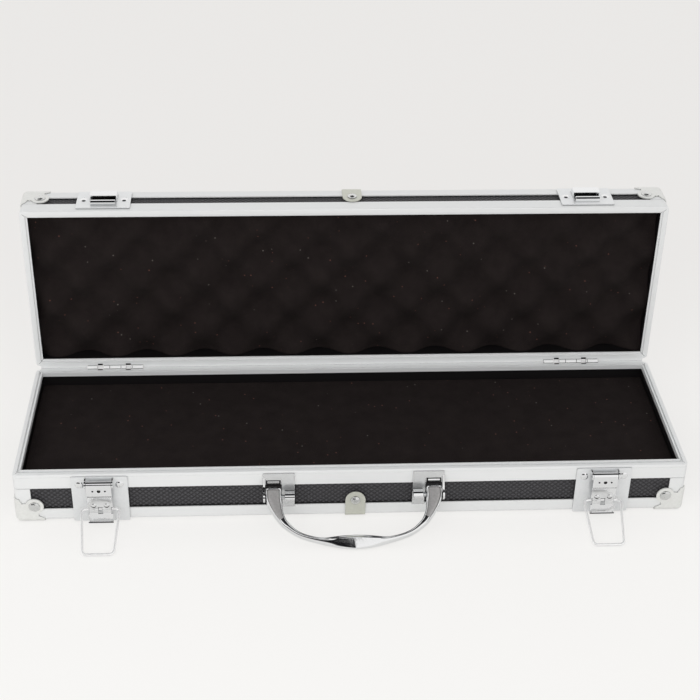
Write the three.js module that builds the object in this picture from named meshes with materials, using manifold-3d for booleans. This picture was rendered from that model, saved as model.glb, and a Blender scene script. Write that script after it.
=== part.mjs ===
// A slim aluminium tool case, standing open on a table.
// Two trays of black board are framed by aluminium extrusions and joined by two hinges.
// Two draw latches, a folding handle, corner protectors and foam pads complete it.
// Millimetres, +X to the right along the length, -Y to the front, +Z up.
// The origin lies on the table, under the middle of the base tray.

import * as THREE from 'three';
import { mergeVertices } from 'three/addons/utils/BufferGeometryUtils.js';
import Module from 'manifold-3d';

const wasm = await Module();
wasm.setup();

// Overall sizes
const caseLength = 460;
const caseDepth = 129;
const baseHeight = 39;          // underside of the bottom rail to the rim face
const lidHeight = 31.5;         // rim face of the lid to the outer face of its rail
const openAngle = 90;           // the lid's stop
const seam = 0.4;               // gap between the two rims when the case is shut
const fit = 0.3;                // gap between pieces that seat on each other

// Extrusions
const cornerRadius = 3;
const innerCorner = 0.4;
const skin = 1;                 // wall of the extrusions
const rimLeg = 11.4;
const rimBridge = 2;            // thickness over the edge of the board
const rimLip = 0.8;             // inner leg of the base rim
const rimLipDepth = 3;
const rimBevel = 0.8;
const lineDrop = 2.3;           // fine line round the outer face, below the rim face
const lineDepth = 0.2;
const grooveStart = 2.9;        // groove along the base rim, from its outer face
const grooveWidth = 1.3;
const grooveDepth = 1.2;
const tongueHeight = 0.8;
const baseRailLeg = 10;
const lidRailLeg = 10;
const railFlange = 11;
const postLeg = 11;
const board = 3;

// Stamped sheet
const sheet = 0.7;
const lobeCentre = 12.8;        // corner rivet from each face
const lobeRadius = 6.3;
const notchAlong = 15;          // V notch between two lobes, from the corner
const notchAside = 4.5;
const lobeEdge = 18.8;          // reach of the sheet along the case's edges
const rivetRadius = 3.8;
const rivetDome = 1.5;
const clipWidth = 13.8;
const clipTop = 20.8;
const clipReach = 8;            // flange under the rail
const clipRivetHeight = 13.6;
const clipRivetRadius = 3.4;
const clipShank = 1.6;
const baseClipOffset = 1.4;     // clips right of the middle
const lidClipOffset = 4;

// Foam
const baseFoamDrop = 10.5;      // foam below the rim face
const crestDepth = 5;           // foam crests below the lid's rim face
const valleyDepth = 15;
const crestPitch = 43.5;
const crestPhaseX = -18;        // place of one crest
const crestPhaseY = -47;
const foamStep = crestPitch / 6;

// Latches, their heights measured down from the base's rim face
const latchInset = 58;          // end of the case to the middle of the latch
const latchWidth = 38;
const latchPlate = 0.9;
const plateDrop = 1.7;
const plateCorner = 1.2;
const latchRivetRadius = 3;
const latchRivetDome = 1;
const latchRivetSpacing = 26.8;
const latchRivetDrop = 8;
const leverWidth = 16.8;
const leverSheet = 0.9;
const leverPinRadius = 1.1;
const leverPinOut = 4.8;        // pin axis from the case's front face
const leverPinDrop = 5;
const leverStep = 0.7;          // joggle between the lever's two fields
const leverStepDrop = 13.4;
const leverTipOut = 8.2;
const leverTipDrop = 34.5;
const leverRoll = 1;
const dimpleDrop = 9;           // three dimples across the upper field
const dimpleRadius = 1.3;
const dimpleDepth = 0.35;
const dotRadius = 0.7;
const dotSpacing = 8.4;
const bossDrop = 21.6;          // two bosses above the bail's loops
const bossRadius = 2;
const bossRise = 0.6;
const loopWidth = 5.6;
const loopGap = 3.2;
const earSheet = 0.9;
const earRadius = 3;
const earDrop = 14;
const wireRadius = 0.9;
const bailOut = 4.9;            // bail axis from the case's front face
const bailDrop = 25.6;
const bailReach = 34.5;
const bailWidth = 25.8;         // between wire centres at the lever
const bailTipWidth = 20.7;
const bailCorner = 3;

// Keepers on the lid
const keeperFoot = 3.2;         // lower edge of the plate above the lid's rim face
const keeperTop = 28;
const keeperRivetSpacing = 28.4;
const keeperRivetHeight = 15;
const hookWidth = 17.4;
const hookRise = 0.6;           // hook's free edge above the wire's centre
const hoodWidth = 19;
const hoodOut = 6;
const hoodFoot = 12;
const hoodCrown = 20;
const hoodEnd = 23.5;

// Handle, its heights measured down from the base's rim face too
const handleSpan = 109.6;       // between the arms' middles at the pivots
const pivotOut = 6.1;
const pivotDrop = 17;
const handleReach = 32.5;       // pivot axis to the grip's middle
const armWidth = 10.8;
const armThickness = 9;
const gripWidth = 10;
const gripThickness = 7.6;
const gripPower = 1.25;         // 1 is an ellipse, less is squarer, more is a soft diamond
// Half of the bow, from a pivot to the grip's middle: place as a share of span and reach,
// then width, thickness and the power of its superellipse section
const bowStations = [
  [0.5, 0, armWidth, armThickness, 0.5],
  [0.498, 0.08, 10.5, armThickness, 0.5],
  [0.484, 0.249, 8.9, 8.8, 0.55],
  [0.459, 0.454, 6.3, 8.2, 0.65],
  [0.42, 0.638, 4.8, 7.2, 0.8],
  [0.337, 0.838, 3.9, 6, 0.9],
  [0.214, 0.962, 4.8, 6.2, 1],
  [0.099, 0.994, 8.6, 7.2, 1.2],
  [0, 1, gripWidth, gripThickness, gripPower],
];
const heelReach = 5;            // the arm's square heel stands this far behind the pivot
const heelRound = 0.8;
const pocketRim = 1.1;          // wall left beside the pocket in the arm's upper face
const pocketDepth = 1.3;
const pocketEnd = 0.42;         // share of the way to the grip where the pocket runs out
const handlePinRadius = 1.6;
const bracketWidth = 21.4;
const bracketSheet = 1;
const bracketDrop = 20;         // lower edge of the bracket's plate
const bracketLegDrop = 29.5;
const bracketLegWidth = 8.4;
const bracketEar = 1.3;
const barrelRadius = 2.8;
const barrelGap = 2;            // between the inner barrel and the arm's eye
const notchDrop = 6.7;          // upper edge of the notch that clears the arm's heel

// Hinges
const hingeInset = 58.5;        // end of the case to the middle of the hinge
const hingeWidth = 41.5;
const knuckles = 5;
const knuckleGap = 0.4;
const hingeBack = 1.5;          // axis behind the rear faces: the knuckles sit in notches
const knuckleRadius = 1.7;
const hingePinRadius = 0.8;
const leafSheet = 1;
const leafHeight = 11;

// Finishes
const finish = {
  aluminium: { color: 0xd6d9db, roughness: 0.34, metalness: 1 },
  chrome: { color: 0xe4e6e8, roughness: 0.12, metalness: 1 },
  steel: { color: 0xb9bcbf, roughness: 0.3, metalness: 1 },
  panel: { color: 0x3b3a3c, roughness: 0.55, metalness: 0 },
  foam: { color: 0x1e1b1b, roughness: 1, metalness: 0 },
};

// Sizes that follow
const outset = fit + sheet;                      // stamped sheet stands this far out
const boardOuter = skin + fit;
const boardInner = boardOuter + board;
const rimWidth = boardInner + fit + rimLip;
const boardFoot = skin + fit;
const floorTop = boardFoot + board;
const foamInset = boardInner + fit;
const baseFoamTop = baseHeight - baseFoamDrop;
const latchOffset = caseLength / 2 - latchInset;
const hingeOffset = caseLength / 2 - hingeInset;
const plateTop = baseHeight - plateDrop;
const latchRivetHeight = baseHeight - latchRivetDrop;
const leverPinHeight = baseHeight - leverPinDrop;
const leverStepHeight = baseHeight - leverStepDrop;
const leverTipHeight = baseHeight - leverTipDrop;
const earFoot = baseHeight - earDrop;
const bailHeight = baseHeight - bailDrop;
const pivotHeight = baseHeight - pivotDrop;
const bracketFoot = baseHeight - bracketDrop;
const bracketLegFoot = baseHeight - bracketLegDrop;
const notchTop = baseHeight - notchDrop;
const dimpleHeight = baseHeight - dimpleDrop;
const bossHeight = baseHeight - bossDrop;
const plateOut = fit + latchPlate;
const frontFace = -caseDepth / 2;
const rearFace = caseDepth / 2;

// Solids and their booleans

function signedVolume(positions, triangles) {
  let sum = 0;
  const [a, b, c] = [new THREE.Vector3(), new THREE.Vector3(), new THREE.Vector3()];
  for (let i = 0; i < triangles.length; i += 3) {
    a.fromArray(positions, 3 * triangles[i]);
    b.fromArray(positions, 3 * triangles[i + 1]);
    c.fromArray(positions, 3 * triangles[i + 2]);
    sum += a.dot(b.cross(c));
  }
  return sum;
}

function solid(geometry) {
  const bare = geometry.clone();
  bare.deleteAttribute('normal');
  bare.deleteAttribute('uv');
  const merged = mergeVertices(bare, 1e-4);
  const positions = Float32Array.from(merged.attributes.position.array);
  const triangles = Uint32Array.from(merged.index.array);
  if (signedVolume(positions, triangles) < 0) triangles.reverse();
  return new wasm.Manifold(new wasm.Mesh({
    numProp: 3, vertProperties: positions, triVerts: triangles,
  }));
}

function union(pieces) {
  return pieces.map((piece) => (piece.isBufferGeometry ? solid(piece) : piece))
    .reduce((all, piece) => all.add(piece));
}

function cut(body, tools) {
  const start = body.isBufferGeometry ? solid(body) : body;
  return tools.reduce((left, tool) => left.subtract(solid(tool)), start);
}

function toGeometry(shape) {
  if (shape.isBufferGeometry) return toGeometry(solid(shape));
  const mesh = shape.getMesh();
  const geometry = new THREE.BufferGeometry();
  geometry.setAttribute('position', new THREE.BufferAttribute(mesh.vertProperties, 3));
  geometry.setIndex(new THREE.BufferAttribute(mesh.triVerts, 1));
  geometry.computeVertexNormals();
  return geometry;
}

// Skins a row of loops that all have the same number of points.
function loft(loops, closed = false) {
  const count = loops[0].length;
  const points = loops.flat();
  const triangles = [];
  const last = closed ? loops.length : loops.length - 1;
  for (let i = 0; i < last; i += 1) {
    const here = i * count;
    const next = ((i + 1) % loops.length) * count;
    for (let j = 0; j < count; j += 1) {
      const k = (j + 1) % count;
      triangles.push(here + j, here + k, next + j, here + k, next + k, next + j);
    }
  }
  if (!closed) {
    for (const [index, flip] of [[0, true], [loops.length - 1, false]]) {
      const centre = points.length;
      const loop = loops[index];
      points.push(loop.reduce((sum, p) => sum.add(p), new THREE.Vector3()).divideScalar(count));
      for (let j = 0; j < count; j += 1) {
        const [p, q] = [index * count + j, index * count + ((j + 1) % count)];
        triangles.push(centre, flip ? q : p, flip ? p : q);
      }
    }
  }
  const geometry = new THREE.BufferGeometry();
  geometry.setFromPoints(points);
  geometry.setIndex(triangles);
  return geometry;
}

function box(x0, x1, y0, y1, z0, z1) {
  return new THREE.BoxGeometry(x1 - x0, y1 - y0, z1 - z0)
    .translate((x0 + x1) / 2, (y0 + y1) / 2, (z0 + z1) / 2);
}

function polygon(points) {
  return new THREE.Shape(points.map(([x, y]) => new THREE.Vector2(x, y)));
}

// Side profiles are drawn as (outward from the front face, up) and run along X.
function extrudeAlongX(shape, x0, x1) {
  const turn = new THREE.Matrix4().makeBasis(
    new THREE.Vector3(0, -1, 0), new THREE.Vector3(0, 0, 1), new THREE.Vector3(-1, 0, 0));
  return new THREE.ExtrudeGeometry(shape, { depth: x1 - x0, bevelEnabled: false, curveSegments: 5 })
    .applyMatrix4(turn).translate(x1, frontFace, 0);
}

// Face-on outlines are drawn as (x, up) and gain thickness outward from the front face.
function extrudeOutward(shape, from, to) {
  const turn = new THREE.Matrix4().makeBasis(
    new THREE.Vector3(1, 0, 0), new THREE.Vector3(0, 0, 1), new THREE.Vector3(0, -1, 0));
  return new THREE.ExtrudeGeometry(shape, { depth: to - from, bevelEnabled: false, curveSegments: 5 })
    .applyMatrix4(turn).translate(0, frontFace - from, 0);
}

// A round bar along X whose axis lies at a distance out from the front face.
function barAlongX(radius, x0, x1, out, up, sides = 16) {
  return new THREE.CylinderGeometry(radius, radius, x1 - x0, sides)
    .rotateZ(Math.PI / 2).translate((x0 + x1) / 2, frontFace - out, up);
}

// A low rivet head, its foot sunk into the sheet that it closes.
function dome(radius, height, sink) {
  const rim = [0, 1, 2].map((i) => {
    const angle = (i * Math.PI) / 6;
    return new THREE.Vector2(radius * Math.cos(angle), height * Math.sin(angle));
  });
  const foot = [new THREE.Vector2(0, -sink), new THREE.Vector2(radius, -sink)];
  return new THREE.LatheGeometry([...foot, ...rim, new THREE.Vector2(0, height)], 12);
}

function roundedRectangle(x0, x1, y0, y1, radius) {
  const shape = new THREE.Shape();
  shape.absarc(x1 - radius, y0 + radius, radius, -Math.PI / 2, 0);
  shape.absarc(x1 - radius, y1 - radius, radius, 0, Math.PI / 2);
  shape.absarc(x0 + radius, y1 - radius, radius, Math.PI / 2, Math.PI);
  shape.absarc(x0 + radius, y0 + radius, radius, Math.PI, 1.5 * Math.PI);
  return shape;
}

// Bent sheet seen edge on: a row of points thickened to both sides.
function bentSheet(points, thickness) {
  const path = points.map(([x, y]) => new THREE.Vector2(x, y));
  const side = (sign) => path.map((point, i) => {
    const before = path[Math.max(i - 1, 0)];
    const after = path[Math.min(i + 1, path.length - 1)];
    const inward = (i ? point.clone().sub(before) : after.clone().sub(point)).normalize();
    const outward = (i < path.length - 1 ? after.clone().sub(point) : inward.clone()).normalize();
    const bisector = inward.clone().add(outward).normalize();
    const reach = (sign * thickness) / 2 / bisector.dot(inward);
    return [point.x - bisector.y * reach, point.y + bisector.x * reach];
  });
  return polygon([...side(1), ...side(-1).reverse()]);
}

// Trays: drawn with z = 0 at the outer face and the rim face at the top

function trayLoop(inset, z) {
  const radius = Math.max(cornerRadius - inset, innerCorner);
  const points = [];
  const corners = [[1, -1], [1, 1], [-1, 1], [-1, -1]];
  corners.forEach(([sx, sy], quarter) => {
    const x = sx * (caseLength / 2 - inset - radius);
    const y = sy * (caseDepth / 2 - inset - radius);
    for (let i = 0; i <= 3; i += 1) {
      const angle = ((quarter - 1) * Math.PI) / 2 + (i * Math.PI) / 6;
      points.push(new THREE.Vector3(x + radius * Math.cos(angle), y + radius * Math.sin(angle), z));
    }
  });
  return points;
}

function ring(profile) {
  return loft(profile.map(([inset, z]) => trayLoop(inset, z)), true);
}

// The base rim carries a tongue beside its groove; the lid rim has a rebate that clears it.
// Both are notched at the back, where the knuckles of the hinges sit.
function rimRing(height, hasTongue) {
  const tongueStart = grooveStart + grooveWidth;
  const top = height;
  const line = [[0, lineDrop + lineDepth], [lineDepth, lineDrop], [0, lineDrop - lineDepth]];
  const edge = [[0, top - rimLeg], ...line.map(([inset, drop]) => [inset, top - drop]),
    [0, top - rimBevel], [rimBevel, top]];
  const face = hasTongue
    ? [[grooveStart, top], [grooveStart, top - grooveDepth], [tongueStart, top - grooveDepth],
      [tongueStart, top + tongueHeight], [rimWidth, top + tongueHeight]]
    : [[tongueStart - fit, top], [tongueStart - fit, top - tongueHeight - fit],
      [rimWidth, top - tongueHeight - fit]];
  const lip = hasTongue
    ? [[rimWidth, top - rimLipDepth], [rimWidth - rimLip, top - rimLipDepth],
      [rimWidth - rimLip, top - rimBridge]]
    : [[rimWidth, top - rimBridge]];
  const inside = [[skin, top - rimBridge], [skin, top - rimLeg]];
  const notches = [-1, 1].map((side) => new THREE.CylinderGeometry(
    knuckleRadius + fit, knuckleRadius + fit, hingeWidth + 2 * fit, 14)
    .rotateZ(Math.PI / 2).translate(side * hingeOffset, rearFace + hingeBack, height + seam / 2));
  return cut(ring([...edge, ...face, ...lip, ...inside]), notches);
}

// The rail at the outer edge is an angle with a rounded back.
function railRing(leg) {
  const arc = (radius, angles) => angles.map((angle) => [
    cornerRadius - radius * Math.sin(angle), cornerRadius - radius * Math.cos(angle)]);
  const steps = [0, Math.PI / 6, Math.PI / 3, Math.PI / 2];
  return ring([
    [railFlange, 0], ...arc(cornerRadius, steps), [0, leg], [skin, leg],
    ...arc(cornerRadius - skin, [...steps].reverse()), [railFlange, skin],
  ]);
}

// An upright L at each corner, between the rail's leg and the rim's leg.
function cornerPost(sx, sy, height, leg) {
  const shape = new THREE.Shape();
  shape.moveTo(postLeg, 0);
  shape.lineTo(postLeg, skin);
  shape.absarc(cornerRadius, cornerRadius, cornerRadius - skin, -Math.PI / 2, Math.PI, true);
  shape.lineTo(skin, postLeg);
  shape.lineTo(0, postLeg);
  shape.absarc(cornerRadius, cornerRadius, cornerRadius, Math.PI, 1.5 * Math.PI);
  const [z0, z1] = [leg + fit, height - rimLeg - fit];
  const upright = new THREE.ExtrudeGeometry(shape, {
    depth: z1 - z0, bevelEnabled: false, curveSegments: 3,
  });
  return placeAtCorner(upright.translate(0, 0, z0), sx, sy);
}

// Corner pieces are drawn from the corner inward and mirrored to their own corner.
function placeAtCorner(geometry, sx, sy) {
  return geometry.scale(-sx, -sy, 1).translate((sx * caseLength) / 2, (sy * caseDepth) / 2, 0);
}

function lobeOutline() {
  const shape = new THREE.Shape();
  const start = Math.PI * 0.87;
  const end = -Math.PI * 0.37;
  shape.moveTo(-outset, -outset);
  shape.lineTo(-outset, lobeEdge);
  shape.lineTo(1.2, lobeEdge);
  shape.lineTo(notchAside, notchAlong);
  shape.absarc(lobeCentre, lobeCentre, lobeRadius, start, end, true);
  shape.lineTo(notchAlong, notchAside);
  shape.lineTo(lobeEdge, 1.2);
  shape.lineTo(lobeEdge, -outset);
  return shape;
}

function trayBlock(out) {
  const radius = cornerRadius + out;
  const arc = [0, Math.PI / 6, Math.PI / 3, Math.PI / 2].map((angle) => [
    cornerRadius - radius * Math.sin(angle), cornerRadius - radius * Math.cos(angle)]);
  const profile = [...arc, [-out, lobeEdge + 2]];
  return loft(profile.map(([inset, z]) => trayLoop(inset, z)));
}

// Three lobes of one stamped sheet wrap the corner, each closed by a domed rivet.
function cornerProtector(sx, sy, shell, rivetOnFace) {
  const depth = cornerRadius + outset;
  const lobe = () => new THREE.ExtrudeGeometry(lobeOutline(), {
    depth, bevelEnabled: false, curveSegments: 6,
  });
  const lobes = [
    lobe().translate(0, 0, -outset),
    lobe().rotateX(Math.PI / 2).translate(0, depth - outset, 0),
    lobe().rotateY(-Math.PI / 2).translate(depth - outset, 0, 0),
  ];
  const heads = [
    dome(rivetRadius, rivetDome, sheet / 2).rotateX(Math.PI)
      .translate(lobeCentre, -outset, lobeCentre),
    dome(rivetRadius, rivetDome, sheet / 2).rotateZ(Math.PI / 2)
      .translate(-outset, lobeCentre, lobeCentre),
  ];
  if (rivetOnFace) {
    heads.push(dome(rivetRadius, rivetDome, sheet / 2).rotateX(-Math.PI / 2)
      .translate(lobeCentre, lobeCentre, -outset));
  }
  const placed = (piece) => solid(placeAtCorner(piece, sx, sy));
  const wrapped = shell.intersect(union(lobes.map(placed)));
  return union([wrapped, ...heads.map(placed)]);
}

function boards(height) {
  const [x, y] = [caseLength / 2, caseDepth / 2];
  const end = Math.max(cornerRadius, boardOuter);
  const top = height - rimBridge - fit;
  const across = y - boardInner - fit;
  return {
    front: box(-x + end, x - end, -y + boardOuter, -y + boardInner, end, top),
    back: box(-x + end, x - end, y - boardInner, y - boardOuter, end, top),
    left: box(-x + boardOuter, -x + boardInner, -across, across, end, top),
    right: box(x - boardInner, x - boardOuter, -across, across, end, top),
  };
}

function faceBoard() {
  const [x, y] = [caseLength / 2 - boardInner - fit, caseDepth / 2 - boardInner - fit];
  return box(-x, x, -y, y, boardFoot, floorTop);
}

// A tab that hooks under the rail at the middle of the front and is riveted to the board.
function centreClip(offset) {
  const shape = new THREE.Shape();
  shape.moveTo(-clipReach, -outset);
  shape.absarc(-cornerRadius, cornerRadius, cornerRadius + outset, -Math.PI / 2, 0);
  shape.lineTo(outset, clipTop);
  shape.lineTo(fit, clipTop);
  shape.absarc(-cornerRadius, cornerRadius, cornerRadius + fit, 0, -Math.PI / 2, true);
  shape.lineTo(-clipReach, -fit);
  const strap = solid(extrudeAlongX(shape, offset - clipWidth / 2, offset + clipWidth / 2));
  const outline = new THREE.Shape();
  const radius = clipWidth / 2;
  outline.moveTo(offset - radius, -2 * outset);
  outline.lineTo(offset + radius, -2 * outset);
  outline.absarc(offset, clipTop - radius, radius, 0, Math.PI);
  const rounded = strap.intersect(solid(extrudeOutward(outline, -2 * clipReach, 2 * outset)));
  return cut(rounded, [rivetHole(offset)]);
}

function rivetHole(offset) {
  return new THREE.CylinderGeometry(clipShank + fit, clipShank + fit, 4 * board, 12)
    .translate(offset, frontFace, clipRivetHeight);
}

function clipRivet(offset) {
  const head = dome(clipRivetRadius, rivetDome, 0).rotateX(Math.PI)
    .translate(offset, frontFace - outset - fit, clipRivetHeight);
  const length = outset + fit + boardInner - fit;
  const shank = new THREE.CylinderGeometry(clipShank, clipShank, length, 12)
    .translate(offset, frontFace - outset - fit + length / 2, clipRivetHeight);
  return union([head, shank]);
}

function flatFoam() {
  const [x, y] = [caseLength / 2 - foamInset, caseDepth / 2 - foamInset];
  return box(-x, x, -y, y, floorTop + fit, baseFoamTop);
}

// Egg-crate foam: crests in staggered rows from one cosine product.
function crateFoam() {
  const [halfX, halfY] = [caseLength / 2 - foamInset, caseDepth / 2 - foamInset];
  const [countX, countY] = [halfX, halfY].map((half) => Math.round((2 * half) / foamStep));
  const turn = (2 * Math.PI) / crestPitch;
  const middle = lidHeight - (crestDepth + valleyDepth) / 2;
  const swing = (valleyDepth - crestDepth) / 2;
  const foot = floorTop + fit;
  const points = [];
  const triangles = [];
  const index = (i, j) => i * (countY + 1) + j;
  for (let i = 0; i <= countX; i += 1) {
    for (let j = 0; j <= countY; j += 1) {
      const x = -halfX + (2 * halfX * i) / countX;
      const y = -halfY + (2 * halfY * j) / countY;
      const wave = Math.cos(turn * (x - crestPhaseX)) * Math.cos(turn * (y - crestPhaseY));
      points.push(new THREE.Vector3(x, y, middle + swing * wave));
    }
  }
  for (let i = 0; i < countX; i += 1) {
    for (let j = 0; j < countY; j += 1) {
      const [a, b, c, d] = [index(i, j), index(i + 1, j), index(i + 1, j + 1), index(i, j + 1)];
      triangles.push(a, b, c, a, c, d);
    }
  }
  const border = [];
  for (let i = 0; i < countX; i += 1) border.push(index(i, 0));
  for (let j = 0; j < countY; j += 1) border.push(index(countX, j));
  for (let i = countX; i > 0; i -= 1) border.push(index(i, countY));
  for (let j = countY; j > 0; j -= 1) border.push(index(0, j));
  const first = points.length;
  border.forEach((at) => points.push(new THREE.Vector3(points[at].x, points[at].y, foot)));
  const centre = points.length;
  points.push(new THREE.Vector3(0, 0, foot));
  border.forEach((at, k) => {
    const next = (k + 1) % border.length;
    triangles.push(at, first + k, border[next], border[next], first + k, first + next);
    triangles.push(centre, first + next, first + k);
  });
  const geometry = new THREE.BufferGeometry().setFromPoints(points);
  geometry.setIndex(triangles);
  return geometry;
}

// Draw latch: plate with two ears, lever on a pin, and a wire bail in the lever's loops

function latchBase() {
  const half = latchWidth / 2;
  const ear = leverWidth / 2 + fit;
  const pieces = [
    extrudeOutward(roundedRectangle(-half, half, fit, plateTop, plateCorner), fit, plateOut),
  ];
  for (const side of [-1, 1]) {
    pieces.push(dome(latchRivetRadius, latchRivetDome, latchPlate / 2).rotateX(Math.PI)
      .translate((side * latchRivetSpacing) / 2, frontFace - plateOut, latchRivetHeight));
    const profile = new THREE.Shape();
    profile.moveTo(plateOut - latchPlate / 2, earFoot);
    profile.absarc(leverPinOut, leverPinHeight, earRadius, -Math.PI / 4, Math.PI / 2);
    profile.lineTo(plateOut - latchPlate / 2, leverPinHeight + earRadius);
    const [x0, x1] = [side * ear, side * (ear + earSheet)].sort((a, b) => a - b);
    pieces.push(extrudeAlongX(profile, x0, x1));
  }
  const bore = barAlongX(leverPinRadius + fit, -half, half, leverPinOut, leverPinHeight);
  return cut(union(pieces), [bore]);
}

function latchPin() {
  const half = leverWidth / 2 + fit + earSheet;
  return barAlongX(leverPinRadius, -half, half, leverPinOut, leverPinHeight, 12);
}

// The lever is one bent strip: rolled round its pin, joggled, slotted for the bail and curled.
function latchLever() {
  const half = leverWidth / 2;
  const knuckle = leverPinRadius + fit + 1.1;
  const face = leverPinOut + knuckle - leverSheet / 2;
  const lower = face - leverStep;
  const loop = wireRadius + fit + leverSheet;
  const strip = bentSheet([
    [face, leverPinHeight], [face, leverStepHeight + leverStep / 2],
    [lower, leverStepHeight - leverStep / 2], [lower, bailHeight],
    [lower + 0.4, bailHeight - loop], [leverTipOut, leverTipHeight],
  ], leverSheet);
  const pieces = [
    extrudeAlongX(strip, -half, half),
    barAlongX(knuckle, -half, half, leverPinOut, leverPinHeight),
    barAlongX(leverRoll, -half, half, leverTipOut - leverRoll / 2, leverTipHeight, 12),
  ];
  const blank = union(pieces);
  const [low, high] = [bailHeight - loop - 0.6, bailHeight + loop + 0.6];
  const slot = (x0, x1) => box(x0, x1, frontFace - 3 * bailOut, frontFace, low, high);
  const outer = loopGap / 2 + loopWidth;
  const slotted = cut(blank, [
    slot(-half - 1, -outer), slot(-loopGap / 2, loopGap / 2), slot(outer, half + 1),
  ]);
  const loops = [-1, 1].map((side) => {
    const [x0, x1] = [(side * loopGap) / 2, side * outer].sort((a, b) => a - b);
    return barAlongX(loop, x0, x1, bailOut, bailHeight, 14);
  });
  const pressed = (radius, height, depth, x, z) => new THREE.SphereGeometry(radius, 10, 8)
    .scale(1, depth / radius, 1).translate(x, frontFace - height, z);
  const field = face + leverSheet / 2;
  const bosses = [-1, 1].map((side) => pressed(
    bossRadius, lower + leverSheet / 2 - 0.1, bossRise + 0.1, (side * (loopGap + loopWidth)) / 2, bossHeight));
  const dimples = [-1, 0, 1].map((side) => pressed(
    side ? dotRadius : dimpleRadius, field, dimpleDepth, (side * dotSpacing) / 2, dimpleHeight));
  return cut(union([slotted, ...loops, ...bosses]), [
    ...dimples,
    barAlongX(wireRadius + fit, -half - 1, half + 1, bailOut, bailHeight, 12),
    barAlongX(leverPinRadius + fit, -half - 1, half + 1, leverPinOut, leverPinHeight, 12),
  ]);
}

// The bail is drawn flat from its axis; the group that holds it lets it hang.
function bailLoop() {
  const corners = [
    [-bailWidth / 2, 0], [bailWidth / 2, 0],
    [bailTipWidth / 2, bailReach], [-bailTipWidth / 2, bailReach],
  ].map(([x, s]) => new THREE.Vector2(x, s));
  const path = corners.flatMap((corner, i) => {
    const before = corners[(i + 3) % 4].clone().sub(corner).normalize();
    const after = corners[(i + 1) % 4].clone().sub(corner).normalize();
    const start = corner.clone().addScaledVector(before, bailCorner);
    const end = corner.clone().addScaledVector(after, bailCorner);
    return new THREE.QuadraticBezierCurve(start, corner, end).getPoints(5);
  });
  const loops = path.map((point, i) => {
    const before = path[(i + path.length - 1) % path.length];
    const after = path[(i + 1) % path.length];
    const along = after.clone().sub(before).normalize();
    return Array.from({ length: 8 }, (_, k) => {
      const angle = (k * Math.PI) / 4 + Math.PI / 8;
      const aside = wireRadius * Math.cos(angle);
      return new THREE.Vector3(
        point.x + along.y * aside, -point.y + along.x * aside, wireRadius * Math.sin(angle));
    });
  });
  return loft(loops, true);
}

// Keeper on the lid, drawn with z = 0 at the lid's rim face
const wireSeatOut = plateOut + fit + wireRadius;
const bailLean = Math.asin((bailOut - wireSeatOut) / bailReach);
const wireSeatHeight = bailReach * Math.cos(bailLean) - bailDrop - seam;

function keeper() {
  const half = latchWidth / 2;
  const shape = roundedRectangle(-half, half, keeperFoot, keeperTop, plateCorner);
  const seat = wireSeatHeight - wireRadius - fit;
  const lip = wireSeatOut + wireRadius + fit + latchPlate / 2;
  const hook = bentSheet([
    [plateOut - latchPlate / 2, seat - latchPlate / 2], [lip - 0.8, seat - latchPlate / 2],
    [lip, seat + 0.4], [lip, wireSeatHeight + hookRise],
  ], latchPlate);
  const hood = (shrink, front) => polygon([
    [0, front], [hoodOut - shrink, front], [hoodOut - shrink, hoodCrown - shrink / 2],
    [plateOut - shrink, hoodEnd - shrink], [0, hoodEnd - shrink],
  ]);
  const outerHood = solid(extrudeAlongX(hood(0, hoodFoot), -hoodWidth / 2, hoodWidth / 2));
  const wall = hoodWidth / 2 - latchPlate;
  const hollow = extrudeAlongX(hood(latchPlate, hoodFoot - 2), -wall, wall);
  const trimmed = outerHood.subtract(solid(hollow))
    .intersect(solid(box(-half, half, frontFace - 2 * hoodOut, frontFace - fit, 0, lidHeight)));
  const heads = [-1, 1].map((side) => dome(latchRivetRadius, latchRivetDome, latchPlate / 2)
    .rotateX(Math.PI)
    .translate((side * keeperRivetSpacing) / 2, frontFace - plateOut, keeperRivetHeight));
  return union([
    extrudeOutward(shape, fit, plateOut), trimmed,
    extrudeAlongX(hook, -hookWidth / 2, hookWidth / 2), ...heads,
  ]);
}

// Handle: a cast bow. Each arm starts in a square heel and carries a pocket, and the grip
// swells to a soft diamond. Half a bow runs from the pivot at 0 to the grip's middle at 1.

function bowSection(t) {
  const path = new THREE.SplineCurve(bowStations.map(([x, s]) => (
    new THREE.Vector2(x * handleSpan, s * handleReach))));
  const sizes = new THREE.CatmullRomCurve3(bowStations.map((row) => (
    new THREE.Vector3(...row.slice(2)))));
  const [width, thickness, power] = sizes.getPoint(t).toArray();
  return { middle: path.getPoint(t), along: path.getTangent(t), width, thickness, power };
}

// Carries an outline of (aside, up) points to its place across the bow.
function acrossBow({ middle, along }, outline, side, behind = 0) {
  return outline.map(([aside, up]) => new THREE.Vector3(
    side * (middle.x + along.y * aside), behind - middle.y + along.x * aside, up));
}

function barOutline({ width, thickness, power }, inset = 0) {
  const sides = 14;
  const round = (value) => Math.sign(value) * Math.abs(value) ** power;
  return Array.from({ length: sides }, (_, k) => {
    const angle = (2 * Math.PI * (k + 0.5)) / sides;
    return [(width / 2 - inset) * round(Math.cos(angle)),
      (thickness / 2 - inset) * round(Math.sin(angle))];
  });
}

// The heel is square above and follows a circle round the pivot below.
function heelLoops(side) {
  const places = [[heelReach, heelRound], [heelReach - 0.3 * heelRound, 0.3 * heelRound],
    [heelReach - heelRound, 0], [3, 0], [1.5, 0]];
  const section = bowSection(0);
  section.along.set(0, 1);
  return places.map(([behind, inset]) => {
    const lowest = -Math.sqrt(Math.max((armThickness / 2) ** 2 - behind ** 2, 0));
    const outline = barOutline(section, inset).map(([aside, up]) => [aside, Math.max(up, lowest)]);
    return acrossBow(section, outline, side, behind);
  });
}

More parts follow.
